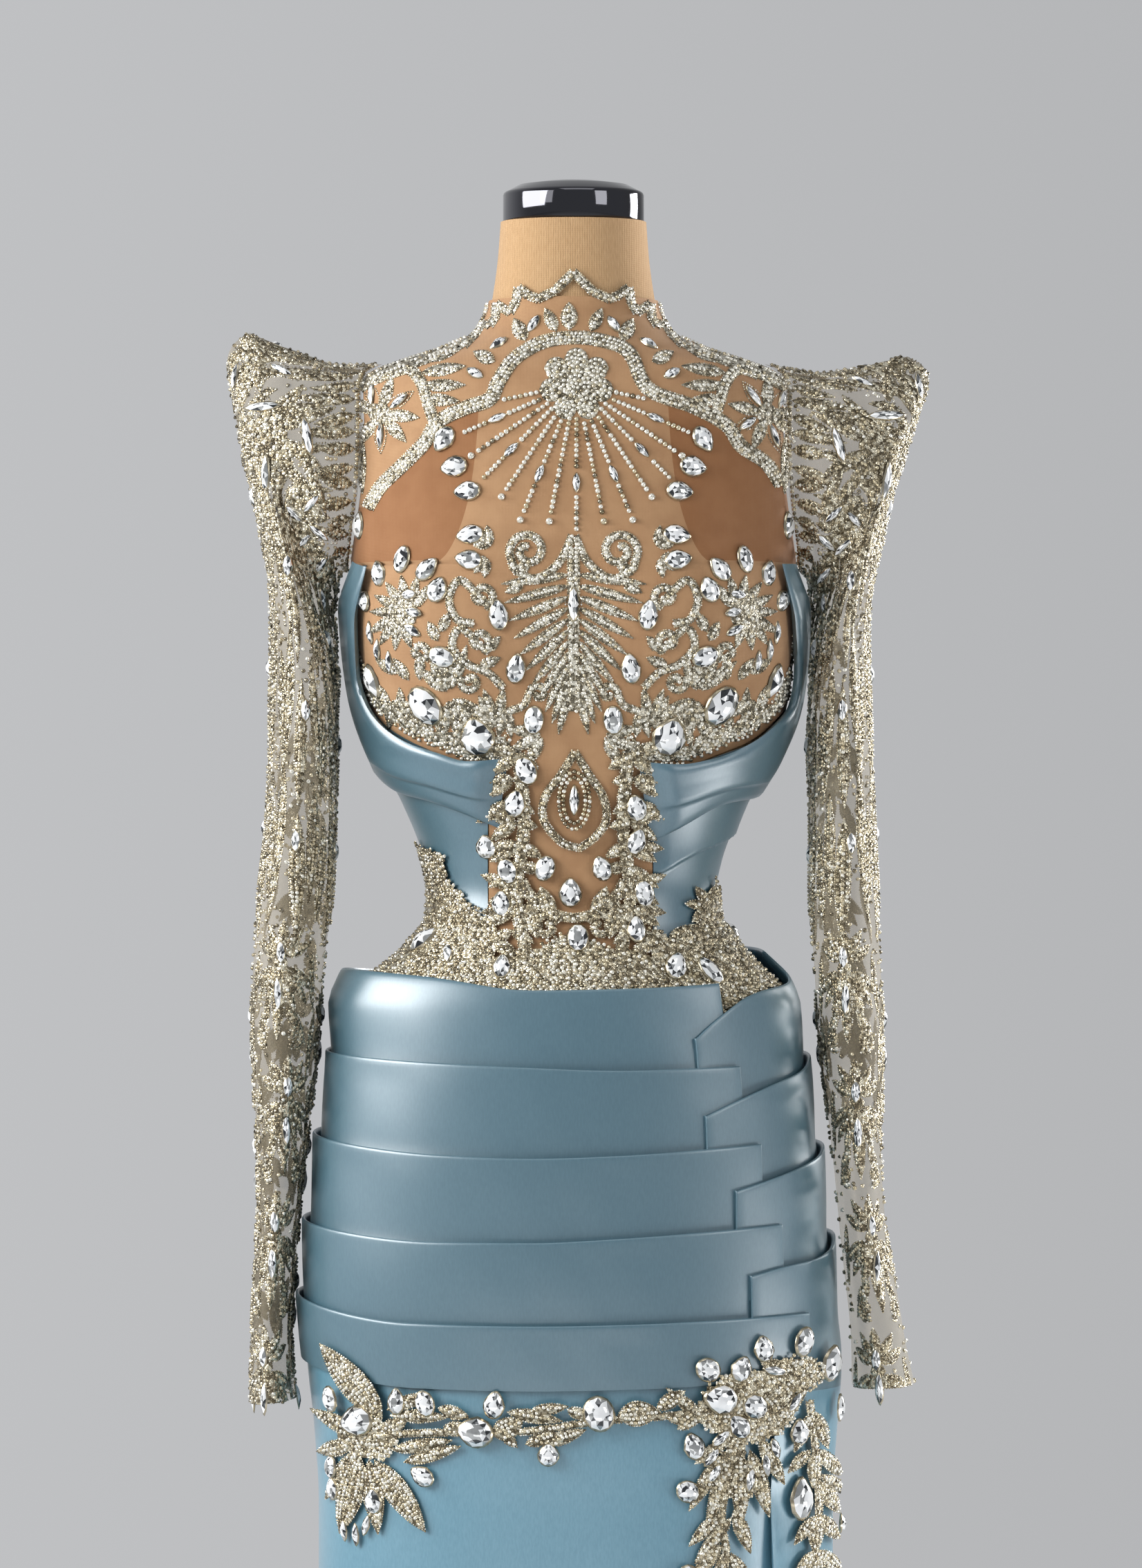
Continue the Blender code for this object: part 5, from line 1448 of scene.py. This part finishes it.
WAIST_STONES = (
    (-32, 1156, 14, 19, 20), (-39, 1134, 14, 19, -15), (-58, 1104, 14, 16, 0), (-44, 1087, 13, 17, 15),
    (-48, 1064, 13, 17, 0), (-48, 1020, 12, 17, 0), (-19, 1089, 13, 17, -20), (19, 1089, 13, 17, 20),
    (-2, 1072, 15, 19, 0), (3, 1040, 14, 18, 0), (42, 1131, 14, 18, 15), (42, 1108, 13, 18, -15),
    (47, 1071, 13, 18, 15), (42, 1046, 13, 18, 0), (69, 1020, 15, 20, -20), (92, 1016, 13, 22, 30),
    (-100, 1036, 12, 24, -35), (-84, 1028, 8, 16, 20), (112, 1040, 9, 18, 30),
)
# Upper edge of the closed beadwork round the waist
WAIST_TOP = np.array((
    (-140, 1112), (-119, 1134), (-112, 1116), (-104, 1106), (-86, 1100), (-84, 1084), (-70, 1066),
    (-58, 1056), (58, 1046), (64, 1040), (80, 1052), (90, 1060), (94, 1085), (101, 1062), (140, 1050),
), float)
# Right half of the crown over the neck, from its middle outwards
CROWN = np.array((
    (0, 1497), (-13, 1484), (-24, 1479), (-31, 1482), (-37, 1487), (-39, 1477), (-43, 1470), (-52, 1477),
    (-53, 1467), (-57, 1461), (-62, 1464), (-67, 1455), (-75, 1446),
), float)
CROWN_ANGLE = 78.0
COLLAR_LIE = 2.2
COLLAR_RADIUS = 60.0
COLLAR_ZIGZAG_COUNT = 14
COLLAR_ZIGZAG_HEIGHT = 1472.0
COLLAR_ZIGZAG_DEPTH = 5.0
ROSETTE = np.array((2.0, 1418.0))
# Gap under the bodice's beads
BEAD_LIE = 1.5


def build_collar_beads():
    """Two zigzag rows round the back of the collar."""
    collar = BeadField(round_surface(COLLAR_LIE))
    teeth = 2 * COLLAR_ZIGZAG_COUNT + 1
    angles = np.linspace(CROWN_ANGLE, 360 - CROWN_ANGLE, teeth)
    heights = COLLAR_ZIGZAG_HEIGHT + COLLAR_ZIGZAG_DEPTH * np.where(np.arange(teeth) % 2, -1, 1)
    zigzag = np.column_stack((angles, heights))
    for lift in (-1.6, 1.4):
        for first, last in zip(zigzag[:-1], zigzag[1:]):
            length = math.hypot(math.radians(last[0] - first[0]) * COLLAR_RADIUS, last[1] - first[1])
            share = np.arange(0, 1, SEED_SIZE / length)[:, None]
            collar.add(first + (last - first) * share + (0, lift), SEED_SIZE * 1.1)
    return collar


def add_rosette(field):
    """Heaped flower in the middle of the yoke, with its rays."""
    for turn in np.radians(np.arange(90, 450, 360 / 7)):
        disc(field, ROSETTE + 17.5 * way_of(turn), 8.2)
    disc(field, ROSETTE, 13)
    for number, turn in fan_turns(-168, -12, 15):
        way = way_of(turn)
        reach = 74 + 22 * abs(math.sin(turn)) + (6 if number % 2 else 0)
        if number % 2:
            field.add(ROSETTE + way * reach * 0.66, 5.5, 13, math.degrees(turn) - 90, NAVETTE)
        field.add(ROSETTE + way * reach, 5.2, kind=CRYSTAL)
        row(field, (ROSETTE + way * 24, ROSETTE + way * reach * 0.97), 3.7, CRYSTAL)


def build_yoke_beads():
    """Collar, arch, shoulders, rosette with its rays, and volutes."""
    collar = build_collar_beads()
    field = BeadField(body_surface(BEAD_LIE))
    crown = np.concatenate((CROWN[:0:-1], CROWN * (-1, 1)))
    for stroke in zip(crown[:-1], crown[1:]):
        band(field, stroke, 2.9)
    for sign in (-1, 1):
        at = mirror(sign)
        add_stones(field, COLLAR_STONES, side=sign)
        add_stones(field, YOKE_STONES, PEAR, sign)
        leaves(field, YOKE_LEAVES, SEED_SIZE, sign)
        band(field, at((126, 1427), (113, 1430), (104, 1421), (99, 1406), (95, 1394)), 3.6)
        for height, reach, drop in ((1436, 78, 7), (1427, 74, 4), (1418, 74, 0), (1409, 78, -2)):
            leaf(field, at(103, height), at(reach, height + drop), 8)
        flower(field, at(132, 1400), 27, 9, 8 * sign, 0.30, 2)
        band(field, at((146, 1421), (130, 1428), (108, 1436), (88, 1443), (73, 1452)), 5.0)
        leaf(field, at(146, 1388), at(144, 1346), 7)
        field.add(at(146, 1324), 13, 18, 0, PEAR)
        volute = ((40, 1292), (26, 1285), (10, 1296), (1, 1314))
        side_scroll(field, sign, (31, 1304), 13, 90, -1.35, 2.5, volute)
        side_spray(field, sign, (56, 1306), 15, (100, 160), (20, 80), 3, 6)
        side_spray(field, sign, (58, 1300), 14, (200, 260), (-80, 0), 3, 6)
    leaf(field, (-3, 1457), (-3, 1476), 11)
    band(field, YOKE_ARCH, 4.6)
    add_rosette(field)
    build_beads("yoke_beads", [collar, field], ["collar_trim", "applique_yoke_arch"], 0.16, 0.12)


# Scrolls over the left cup: middle, radius, start, turns, half width and tail; two come after the leaves
CUP_SCROLLS = (
    ((62, 1273), 8, 200, 1.1, 2.4, ((76, 1284), (84, 1272), (79, 1258), (68, 1255))),
    ((64, 1243), 7, 200, 1.1, 2.4, ((76, 1252), (82, 1240), (72, 1228), (58, 1222), (48, 1212))),
    ((24, 1208), 6, 0, -1.0, 2.3, ((34, 1200), (44, 1196))),
    ((70, 1216), 7, 0, 1.1, 2.3),
    ((104, 1236), 6, 200, 1.1, 2.3),
)
# Fans over a cup: foot, reach, ends on the right and on the left, number of leaves and their width
CUP_FANS = (
    ((112, 1262), 26, (50, 200), (-20, 130), 7, 7),
    ((118, 1262), 24, (-150, -70), (-110, -30), 4, 7),
    ((84, 1208), (34, 26), (70, 140), (40, 110), 4, 8),
    ((84, 1206), 30, (-100, -30), (-150, -80), 4, 8),
    ((122, 1206), 22, (-100, -40), (-140, -80), 3, 7),
    ((52, 1186), 26, (80, 170), (10, 100), 4, 7),
    ((46, 1200), 22, (-150, -80), (-100, -30), 4, 7),
    ((20, 1180), 24, (170, 240), (-60, 10), 3, 8),
)
# Small leaves over a cup, from foot to tip
CUP_LEAVES = (
    (126, 1196, 132, 1214), (116, 1190, 118, 1212), (106, 1184, 104, 1196), (88, 1176, 92, 1196),
    (80, 1172, 74, 1198), (56, 1192, 64, 1206), (112, 1218, 122, 1232), (104, 1218, 104, 1236),
    (96, 1222, 88, 1234), (120, 1222, 134, 1232), (60, 1236, 50, 1246), (64, 1226, 50, 1232),
    (90, 1250, 84, 1262), (92, 1244, 98, 1256), (30, 1296, 40, 1288), (34, 1282, 46, 1276),
)


def build_bust_beads():
    """Fern in the middle, and scrolls, leaves and stones over both cups."""
    field = BeadField(body_surface(BEAD_LIE))
    for sign in (-1, 1):
        add_stones(field, BUST_STONES, side=sign)
    for number, height in enumerate(np.linspace(1288, 1214, 11)):
        for sign in (-1, 1):
            droop = math.radians(8 + 7.0 * number)
            reach = 46 - 1.2 * number
            way = np.array((sign * math.cos(droop), -math.sin(droop)))
            leaf(field, (sign * 3, height), np.array((sign * 3, height)) + way * reach, 6.2, 2.4)
    band(field, ((0, 1306), (0, 1250), (0, 1196)), 4.0)
    leaf(field, (0, 1252), (0, 1284), 11, stone=True)
    for sign in (-1, 1):
        for values in CUP_SCROLLS[:3]:
            side_scroll(field, sign, *values)
        for values in CUP_FANS[:2]:
            side_spray(field, sign, *values)
        disc(field, mirror(sign)(115, 1262), 10)
        for values in CUP_FANS[2:]:
            side_spray(field, sign, *values)
        leaves(field, [(*ends, 7.0) for ends in CUP_LEAVES], 2.6, sign)
        for values in CUP_SCROLLS[3:]:
            side_scroll(field, sign, *values)

    def lower_edge(across, height):
        edge = np.interp(across, (-150, -141, -130, -112, -90, -70), (1240, 1206, 1192, 1180, 1170, 1160))
        other = np.interp(across, (74, 97, 121, 136, 148, 151), (1160, 1170, 1180, 1192, 1206, 1240))
        floor = np.where(across < 0, edge, other)
        return (np.abs(across) > 34) & (height > floor) & (height < floor + 17 + 5 * np.sin(across / 4.5))

    cover(field, lower_edge, 1150, 1250)
    scatter(field, lower_edge, 1150, 1250, 3.0, big=0.1)
    build_beads("bust_beads", [field], (), 0.16, 0.12)


def at_basque(across, height):
    """Whether a place is in the closed beadwork round the waist, whose foot the hip wrap's top edge hides."""
    middle = (np.abs(across) < 58) & (height < 1036 + 9 * np.cos(across / 14))
    beside = (height < np.interp(across, WAIST_TOP[:, 0], WAIST_TOP[:, 1])) & (np.abs(across) > 50)
    return (middle | beside) & ((height > 1003) | ((across > 78) & (across < 132)))


# Gap under the waist's beadwork: everywhere, more over the raised satin, and more over the rolled folds' ends
WAIST_LIE = 1.8
WAIST_RISE = 2.4
FOLD_RISE = 3.0
MEDALLION = (0.5, 1135.5)


def waist_lie(angle, height):
    """Gap under the waist's beadwork at a place."""
    near_fold = bell(np.abs(angle), 30, 12) * bell(height, 1146, 30)
    return WAIST_LIE + WAIST_RISE * ramp(height, 1150, 1110) + FOLD_RISE * near_fold


def build_waist_beads():
    """Medallion, laurel sprays beside it and the dense basque."""
    field = BeadField(body_surface(waist_lie))
    add_stones(field, WAIST_STONES)
    field.add(MEDALLION, 7, 20, 0, NAVETTE)
    turn = np.linspace(0, 2 * np.pi, 13)
    for ring in ((7.5, 15.5), (10.5, 19.5)):
        row(field, MEDALLION + np.column_stack((np.sin(turn), np.cos(turn))) * ring, 3.2, CRYSTAL)
    band(field, ((1, 1168), (-9, 1152), (-19, 1138), (-20, 1122), (-8, 1107), (4, 1103)), 2.4)
    band(field, ((1, 1168), (11, 1152), (20, 1138), (22, 1122), (14, 1110), (4, 1103)), 2.4)
    field.add(((4, 1098), (-3, 1103), (-30, 1104)), 5.0, kind=CRYSTAL)
    for sign in (-1, 1):
        for number, height in enumerate(np.linspace(1166, 1030, 10)):
            out = np.array((sign * (38 + 3 * math.sin(number)), height))
            wide = 24 - 3 * (number % 2)
            leaf(field, out, out + (sign * wide, 9 - 12 * (number % 3)), 9)
            leaf(field, out, out + (sign * wide * 0.8, -12), 8.5)
            leaf(field, out, out + (-sign * 14, -9 + 6 * (number % 2)), 8)
        band(field, mirror(sign)((37, 1168), (33, 1120), (38, 1070), (32, 1030)), 4.0)
        leaves(field, ((14, 1052, 22, 1076, 11), (24, 1040, 30, 1066, 11)), SEED_SIZE, sign)
    band(field, ((-34, 1080), (-22, 1062), (0, 1054), (22, 1062), (34, 1080)), 3.0)
    for sign in (-1, 1):
        side_scroll(field, sign, (18, 1048), 9, 90, 1.2, 2.4)
    for sign in (-1, 1):
        side_scroll(field, sign, (76, 1036), 10, 90, 1.2, 2.6, ((66, 1022), (54, 1016)))
        side_scroll(field, sign, (104, 1030), 9, 90, -1.2, 2.6, ((116, 1020), (126, 1010)))
        flower(field, (sign * 90, 1062), 16, 7, 20 * sign, 0.42)
        band(field, mirror(sign)((22, 1012), (36, 1024), (50, 1020), (62, 1010)), 2.6)
    cover(field, at_basque, 978, 1140)
    scatter(field, at_basque, 980, 1140, 2.8, big=0.06)
    build_beads("waist_beads", [field], (), 0.40, 0.33)


# Beadwork of the belt and its sprays, in millimetres across and up

BELT_LIE_LOW = 2.6
BELT_LIE_TOP = 9.6
BELT_LIE_DRAPE = 6.4
OUTER_SPRAY_LIE = 7.6
BELT_RISE = 0.4
BELT_BEAD = 2.8
BELT_STONES = (
    (-162, 725, 13, 17, 10), (-145, 711, 20, 26, 100), (-118, 726, 12, 17, 0), (-99, 725, 13, 17, 20),
    (-53, 725, 14, 18, -10), (-66, 706, 20, 24, 80), (17, 719, 20, 23, 20), (-17, 691, 14, 15, 0),
    (-102, 675, 13, 17, 60), (-164, 677, 12, 15, 0), (-163, 662, 11, 15, 10), (-135, 656, 14, 17, 0),
    (-155, 634, 6, 14, 5), (-147, 632, 6, 15, 0), (-140, 639, 6, 14, -15), (89, 748, 15, 17, 60),
    (111, 748, 14, 17, -20), (125, 761, 14, 17, 10), (151, 764, 16, 20, -30), (171, 748, 19, 24, -20),
    (98, 728, 20, 24, 80), (121, 722, 16, 19, 60), (111, 709, 14, 18, 40), (81, 696, 14, 18, 20),
    (77, 665, 14, 16, 60), (150, 703, 15, 18, 10), (151, 657, 20, 28, 0),
    (78, 606, 14, 18, 20), (133, 746, 7, 17, 80), (120, 733, 7, 15, 60),
    (147, 724, 7, 16, -40), (99, 701, 7, 15, -50), (93, 688, 7, 15, -40), (95, 677, 7, 14, -30),
    (118, 672, 7, 16, -10), (128, 682, 7, 16, 10), (134, 693, 7, 14, 20),
)
OUTER_STONES = ((176, 717, 10, 18, 0), (178, 633, 12, 13, 0))
BELT_LEAVES = (
    (-128, 714, -166, 762, 20), (-140, 700, -176, 716, 12), (-128, 706, -112, 712, 10),
    (-150, 694, -174, 686, 11), (-124, 720, -96, 732, 9), (-122, 716, -84, 716, 9),
    (-122, 692, -82, 700, 9), (-114, 684, -76, 696, 9), (-134, 684, -100, 637, 17),
    (-144, 686, -158, 632, 18), (-138, 684, -132, 634, 14), (-146, 690, -168, 654, 12),
    (-90, 722, -70, 716, 9), (-88, 706, -72, 712, 8), (-54, 704, -34, 714, 15), (-50, 708, -38, 696, 8),
    (-44, 720, -8, 714, 9), (-30, 720, -4, 724, 8), (-32, 698, -10, 706, 9), (-20, 698, 8, 708, 9),
    (-4, 722, 12, 716, 8), (30, 718, 58, 720, 17), (56, 722, 74, 734, 10), (70, 708, 88, 722, 10),
    (62, 716, 90, 714, 9), (88, 714, 62, 736, 8), (120, 716, 150, 744, 9), (132, 728, 160, 752, 9),
    (124, 752, 146, 744, 9), (132, 706, 156, 734, 9), (104, 700, 82, 684, 9), (100, 690, 78, 652, 10),
    (106, 690, 90, 640, 11), (112, 692, 112, 640, 11), (118, 692, 130, 646, 11), (124, 700, 140, 668, 10),
    (100, 650, 78, 628, 9), (106, 646, 82, 616, 9), (108, 652, 118, 622, 9), (100, 628, 76, 600, 9),
    (102, 624, 96, 592, 9), (106, 622, 120, 590, 10), (98, 600, 84, 566, 9), (100, 600, 102, 560, 10),
    (100, 600, 116, 570, 9),
)
SPRAY_LEAVES = (
    (158, 716, 146, 690, 9), (160, 716, 168, 690, 9), (156, 690, 142, 676, 8), (160, 690, 158, 664, 9),
    (162, 690, 178, 668, 9), (162, 668, 176, 642, 10), (164, 672, 182, 654, 8), (160, 644, 146, 626, 8),
    (160, 644, 160, 618, 10), (162, 644, 176, 624, 9), (158, 620, 146, 600, 8), (160, 620, 162, 592, 9),
    (162, 620, 178, 600, 9), (160, 596, 150, 572, 8), (162, 596, 170, 566, 9),
)


def belt_lie(angle, height):
    """Gap under the belt: over the wrap's last tier at its top, near the skirt or the drape elsewhere."""
    over_tier = BELT_LIE_LOW + (BELT_LIE_TOP - BELT_LIE_LOW) * ramp(height, 690, 762)
    past_tier = ramp(angle, 70, 76)
    over_drape = BELT_LIE_LOW + (BELT_LIE_DRAPE - BELT_LIE_LOW) * ramp(angle, 48, 56)
    return np.maximum(over_drape, over_tier * (1 - past_tier) + BELT_LIE_DRAPE * past_tier)


Cluster = namedtuple("Cluster", "across height half_width half_height")
CLUSTERS = (
    Cluster(116, 722, 34, 26),
    Cluster(-138, 700, 22, 17),
    Cluster(108, 668, 12, 34),
    Cluster(146, 742, 20, 14),
)


def at_cluster(across, height):
    """Whether a place is in one of the belt's closed heaps of beads."""
    found = np.zeros(np.shape(across), bool)
    for item in CLUSTERS:
        reach = np.hypot((across - item.across) / item.half_width, (height - item.height) / item.half_height)
        found |= reach < 1
    return found


def build_belt_beads():
    """Leaf garland with large stones over the hips, and the two sprays that hang from it."""
    field = BeadField(body_surface(belt_lie), BELT_RISE)
    add_stones(field, BELT_STONES)
    leaves(field, BELT_LEAVES, BELT_BEAD)
    band(field, ((-136, 700), (-110, 704), (-66, 706), (-30, 707), (17, 714), (60, 717), (98, 722)), 2.4)
    band(field, ((104, 710), (106, 680), (100, 650), (103, 620), (100, 596)), 2.4)
    cover(field, at_cluster, 660, 770)
    scatter(field, at_cluster, 660, 770, 2.9, big=0.1)
    outer = BeadField(body_surface(OUTER_SPRAY_LIE), BELT_RISE)
    add_stones(outer, OUTER_STONES)
    leaves(outer, SPRAY_LEAVES, BELT_BEAD)
    band(outer, ((156, 724), (160, 690), (162, 650), (160, 620), (160, 596)), 2.4)
    replaced = ["applique_belt", "applique_spray_inner", "applique_spray_outer"]
    build_beads("belt_beads", [field, outer], replaced, 0.34, 0.14)


# Beadwork of the sleeves

SLEEVE_RISE = 0.1
SLEEVE_STATIONS = 7
SLEEVE_FIRST = 118.0
SLEEVE_PITCH = 93.0
FROND_STATIONS = 3
FROND_PITCH = 14.0
SHOULDER_PITCH = 15.0
STREWN = {"right": 7600, "left": 6200}
STREWN_HALF_WIDTH = 125
# Share of the strewn beads that are kept at a distance down the sleeve, and at its end
STREWN_SHARES = ((0, 1.0), (90, 0.90), (220, 0.60), (330, 0.32), (480, 0.20))
STREWN_END = 0.10


def add_shoulder(field):
    """Fringe, flowers and fans of leaves over a sleeve's head."""
    row(field, [(place, 3) for place in np.arange(-140, 100, 20)], 3.2)
    for number, place in enumerate(np.arange(-9, 6) * SHOULDER_PITCH * 0.8):
        leaf(field, (place, 5), (place + 5 * math.sin(2.3 * number), 30 + 9 * (number % 2)), 9.5)
    flower(field, (-28, 58), 42, 11, 20, 0.24, 3)
    flower(field, (34, 52), 26, 8, 0, 0.28, 2)
    flower(field, (-92, 50), 30, 9, 10, 0.26, 3)
    fan(field, (-22, 66), (16, 164), 17, 26, (84, 66, 96))
    fan(field, (48, 26), (14, 166), 13, 16, (62, 48, 72))
    flower(field, (78, 64), 26, 8, 10, 0.30, 3)
    for number, place in enumerate(np.arange(-7, 8) * SHOULDER_PITCH):
        top, foot = 22 + 24 * (number % 2), 92 + 14 * (number % 3)
        leaf(field, (place, top), (place * 0.97 + 5 * math.sin(2.3 * number), foot), 10.5)


def add_feathers(field, centre, scale):
    """Leaves up and down from a heap with a long stone above it, and scrolls and leaves at both sides."""
    spray(field, centre, 36 * scale, 30, 150, 7, 8.6, 4, 0.14, size=2.8)
    spray(field, centre + (0, -4), 26 * scale, 205, 335, 5, 8.0, size=2.8)
    leaf(field, centre, centre + (0, 52 * scale), 10.0, 2.8)
    disc(field, centre, 5.5)
    field.add(centre + (0, -8), 7, 15, 0, NAVETTE)
    for sign in (-1, 1):
        scroll(field, centre + (sign * 14, 50), 7.0, 90, 1.1 * sign, 2.4)
        leaf(field, centre + (sign * 7, 30), centre + (sign * 24, 56), 9.0, 2.8)
        leaf(field, centre + (sign * 26, -8), centre + (sign * 34, 34), 8.0, 2.8)


def add_station(field, station, side):
    """One level of a sleeve: long leaves at the front of the upper ones, and feathered motifs round it."""
    down = SLEEVE_FIRST + SLEEVE_PITCH * station
    around = 5.0 * math.sin(2.1 * station + side)
    fronds = station < FROND_STATIONS
    if fronds:
        for number, place in enumerate(np.arange(-5, 6) * FROND_PITCH):
            top, foot = down - 34 + 24 * (number % 2), down + 50 + 13 * (number % 3)
            lean = 6 * math.sin(2.3 * number + station)
            leaf(field, (place, top), (place * 0.94 + lean, foot), 12.0)
    for place, scale in ((around, 1.0), (around - 66, 0.9), (around + 62, 0.85), (around + 125, 0.8)):
        if side > 0 and place != around and station > 3:
            continue
        if fronds and abs(place) < 5.5 * FROND_PITCH:
            field.add((place, down + 8), 7, 15, 0, NAVETTE)
            continue
        add_feathers(field, np.array((place, down + (0 if place == around else 44))), scale)


def build_sleeve_beads():
    """Leaves and motifs from the shoulder down, and strewn beads that get fewer towards the hem."""
    for name, side in SIDES:
        surface = sleeve_surface(side)
        field = BeadField(surface, SLEEVE_RISE)
        add_shoulder(field)
        for station in range(SLEEVE_STATIONS):
            add_station(field, station, side)
        count, length = STREWN[name], surface.length
        around = RANDOM.random(count) * 2 * STREWN_HALF_WIDTH - STREWN_HALF_WIDTH
        places = np.column_stack((around, RANDOM.random(count) * length))
        dense = np.interp(places[:, 1], *zip(*STREWN_SHARES, (length, STREWN_END)))
        if side > 0:
            dense = dense * np.where(np.abs(places[:, 0]) > 70, ramp(places[:, 1], 380, 300), 1.0)
        places = places[RANDOM.random(count) < dense]
        field.add(places, SEED_SIZE * (0.95 + 0.3 * RANDOM.random(len(places))))
        build_beads("sleeve_beads_" + name, [field], (), 0.46, 0.40)


# Camera, light and room

EYE = (-0.0017, -5.0, 1.146)
LENS = 165.35
FLOOR_REACH = 4.4
FLOOR_SIDES = 96
SKY_BEFORE = (0.26, 0.27, 0.29, 1)
SKY_BEHIND = (0.494, 0.500, 0.512, 1)
# Share of the way from before the gown to behind it at which the surround's tone starts and ends to change
SKY_START = -0.3
SKY_END = 0.75
# How much darker the surround behind the gown gets towards the wearer's left
SKY_FALL = -0.77
# Soft boxes: place, height of the point on the gown's axis that each faces, width and height, and energy
LAMPS = {
    "key": ((-2.4, -2.4, 2.3), 1.15, (1.3, 1.8), 15),
    "fill": ((2.5, -2.4, 2.0), 1.05, (1.2, 1.6), 22),
    "top": ((0.2, -1.2, 3.3), 1.2, (1.6, 1.2), 8),
    "side_left": ((-2.30, -0.9, 1.95), 1.0, (2.1, 1.5), 92),
    "side_right": ((2.1, 1.1, 1.5), 1.0, (0.9, 1.1), 64),
    "low_front": ((-0.15, -1.45, 0.15), 0.60, (1.1, 0.22), 1.2),
    "low_right": ((1.6, -0.6, 0.15), 1.0, (0.8, 0.6), 11),
}


def build_lamps():
    """Soft boxes round the gown, each turned to a point on its axis."""
    for name, (place, height, size, energy) in LAMPS.items():
        lamp = bpy.data.lights.new(name, "AREA")
        lamp.shape = "RECTANGLE"
        lamp.size, lamp.size_y = size
        lamp.energy = energy
        made = show(name, lamp)
        made.location = place
        made.rotation_euler = (Vector((0, 0, height)) - Vector(place)).to_track_quat("-Z", "Y").to_euler()
        made.visible_camera = False


def build_sky():
    """Soft surround: pale grey behind the gown, brighter on the left, and darker grey on the other side."""
    world = bpy.data.worlds.new("studio")
    world.use_nodes = True
    shader = world.node_tree.nodes["Background"]
    place = add_node(world, "ShaderNodeTexCoord")
    parts = add_node(world, "ShaderNodeSeparateXYZ")
    share = add_node(world, "ShaderNodeMapRange", From_Min=SKY_START, From_Max=SKY_END)
    share.interpolation_type = "SMOOTHSTEP"
    mixed = add_node(world, "ShaderNodeMix", data_type="RGBA", A=SKY_BEFORE, B=SKY_BEHIND)
    aside = add_node(world, "ShaderNodeMath", operation="MULTIPLY")
    strength = add_node(world, "ShaderNodeMath", operation="MULTIPLY_ADD")
    strength.inputs[1].default_value = SKY_FALL
    strength.inputs[2].default_value = 1.0
    link(
        world,
        (place, "Generated", parts, 0),
        (parts, "Y", share, "Value"),
        (share, "Result", mixed, "Factor"),
        (parts, "X", aside, 0),
        (share, "Result", aside, 1),
        (aside, 0, strength, 0),
        (mixed, "Result", shader, "Color"),
        (strength, 0, shader, "Strength"),
    )
    bpy.context.scene.world = world


def build_room():
    """Camera, floor, surround and soft boxes."""
    camera = bpy.data.cameras.new("camera")
    camera.sensor_fit = "VERTICAL"
    camera.sensor_height = 36.0
    camera.lens = LENS
    seat = show("camera", camera)
    seat.location = EYE
    seat.rotation_euler = (math.pi / 2, 0, 0)
    bpy.context.scene.camera = seat
    turns = np.linspace(0, 2 * math.pi, FLOOR_SIDES, endpoint=False)
    rim = [(FLOOR_REACH * math.cos(turn), FLOOR_REACH * math.sin(turn), 0.0) for turn in turns]
    mesh = bpy.data.meshes.new("studio_floor")
    mesh.from_pydata(rim, [], [tuple(range(FLOOR_SIDES))])
    floor = show("studio_floor", mesh)
    paper = new_material("paper_look", (0.50, 0.505, 0.515), 0.9)
    colour_noise(paper, (0.49, 0.495, 0.505), (0.51, 0.515, 0.525), 3, 2.0)
    mesh.materials.append(paper)
    build_sky()
    build_lamps()
    settings = bpy.context.scene.view_settings
    settings.view_transform = "Standard"
    settings.look = "None"
    settings.exposure = 0.0


build_form()
build_net()
build_satin_bodice()
build_rolled_folds()
build_tiers()
build_skirt()
build_sleeves()
build_yoke_beads()
build_bust_beads()
build_waist_beads()
build_belt_beads()
build_sleeve_beads()
build_room()
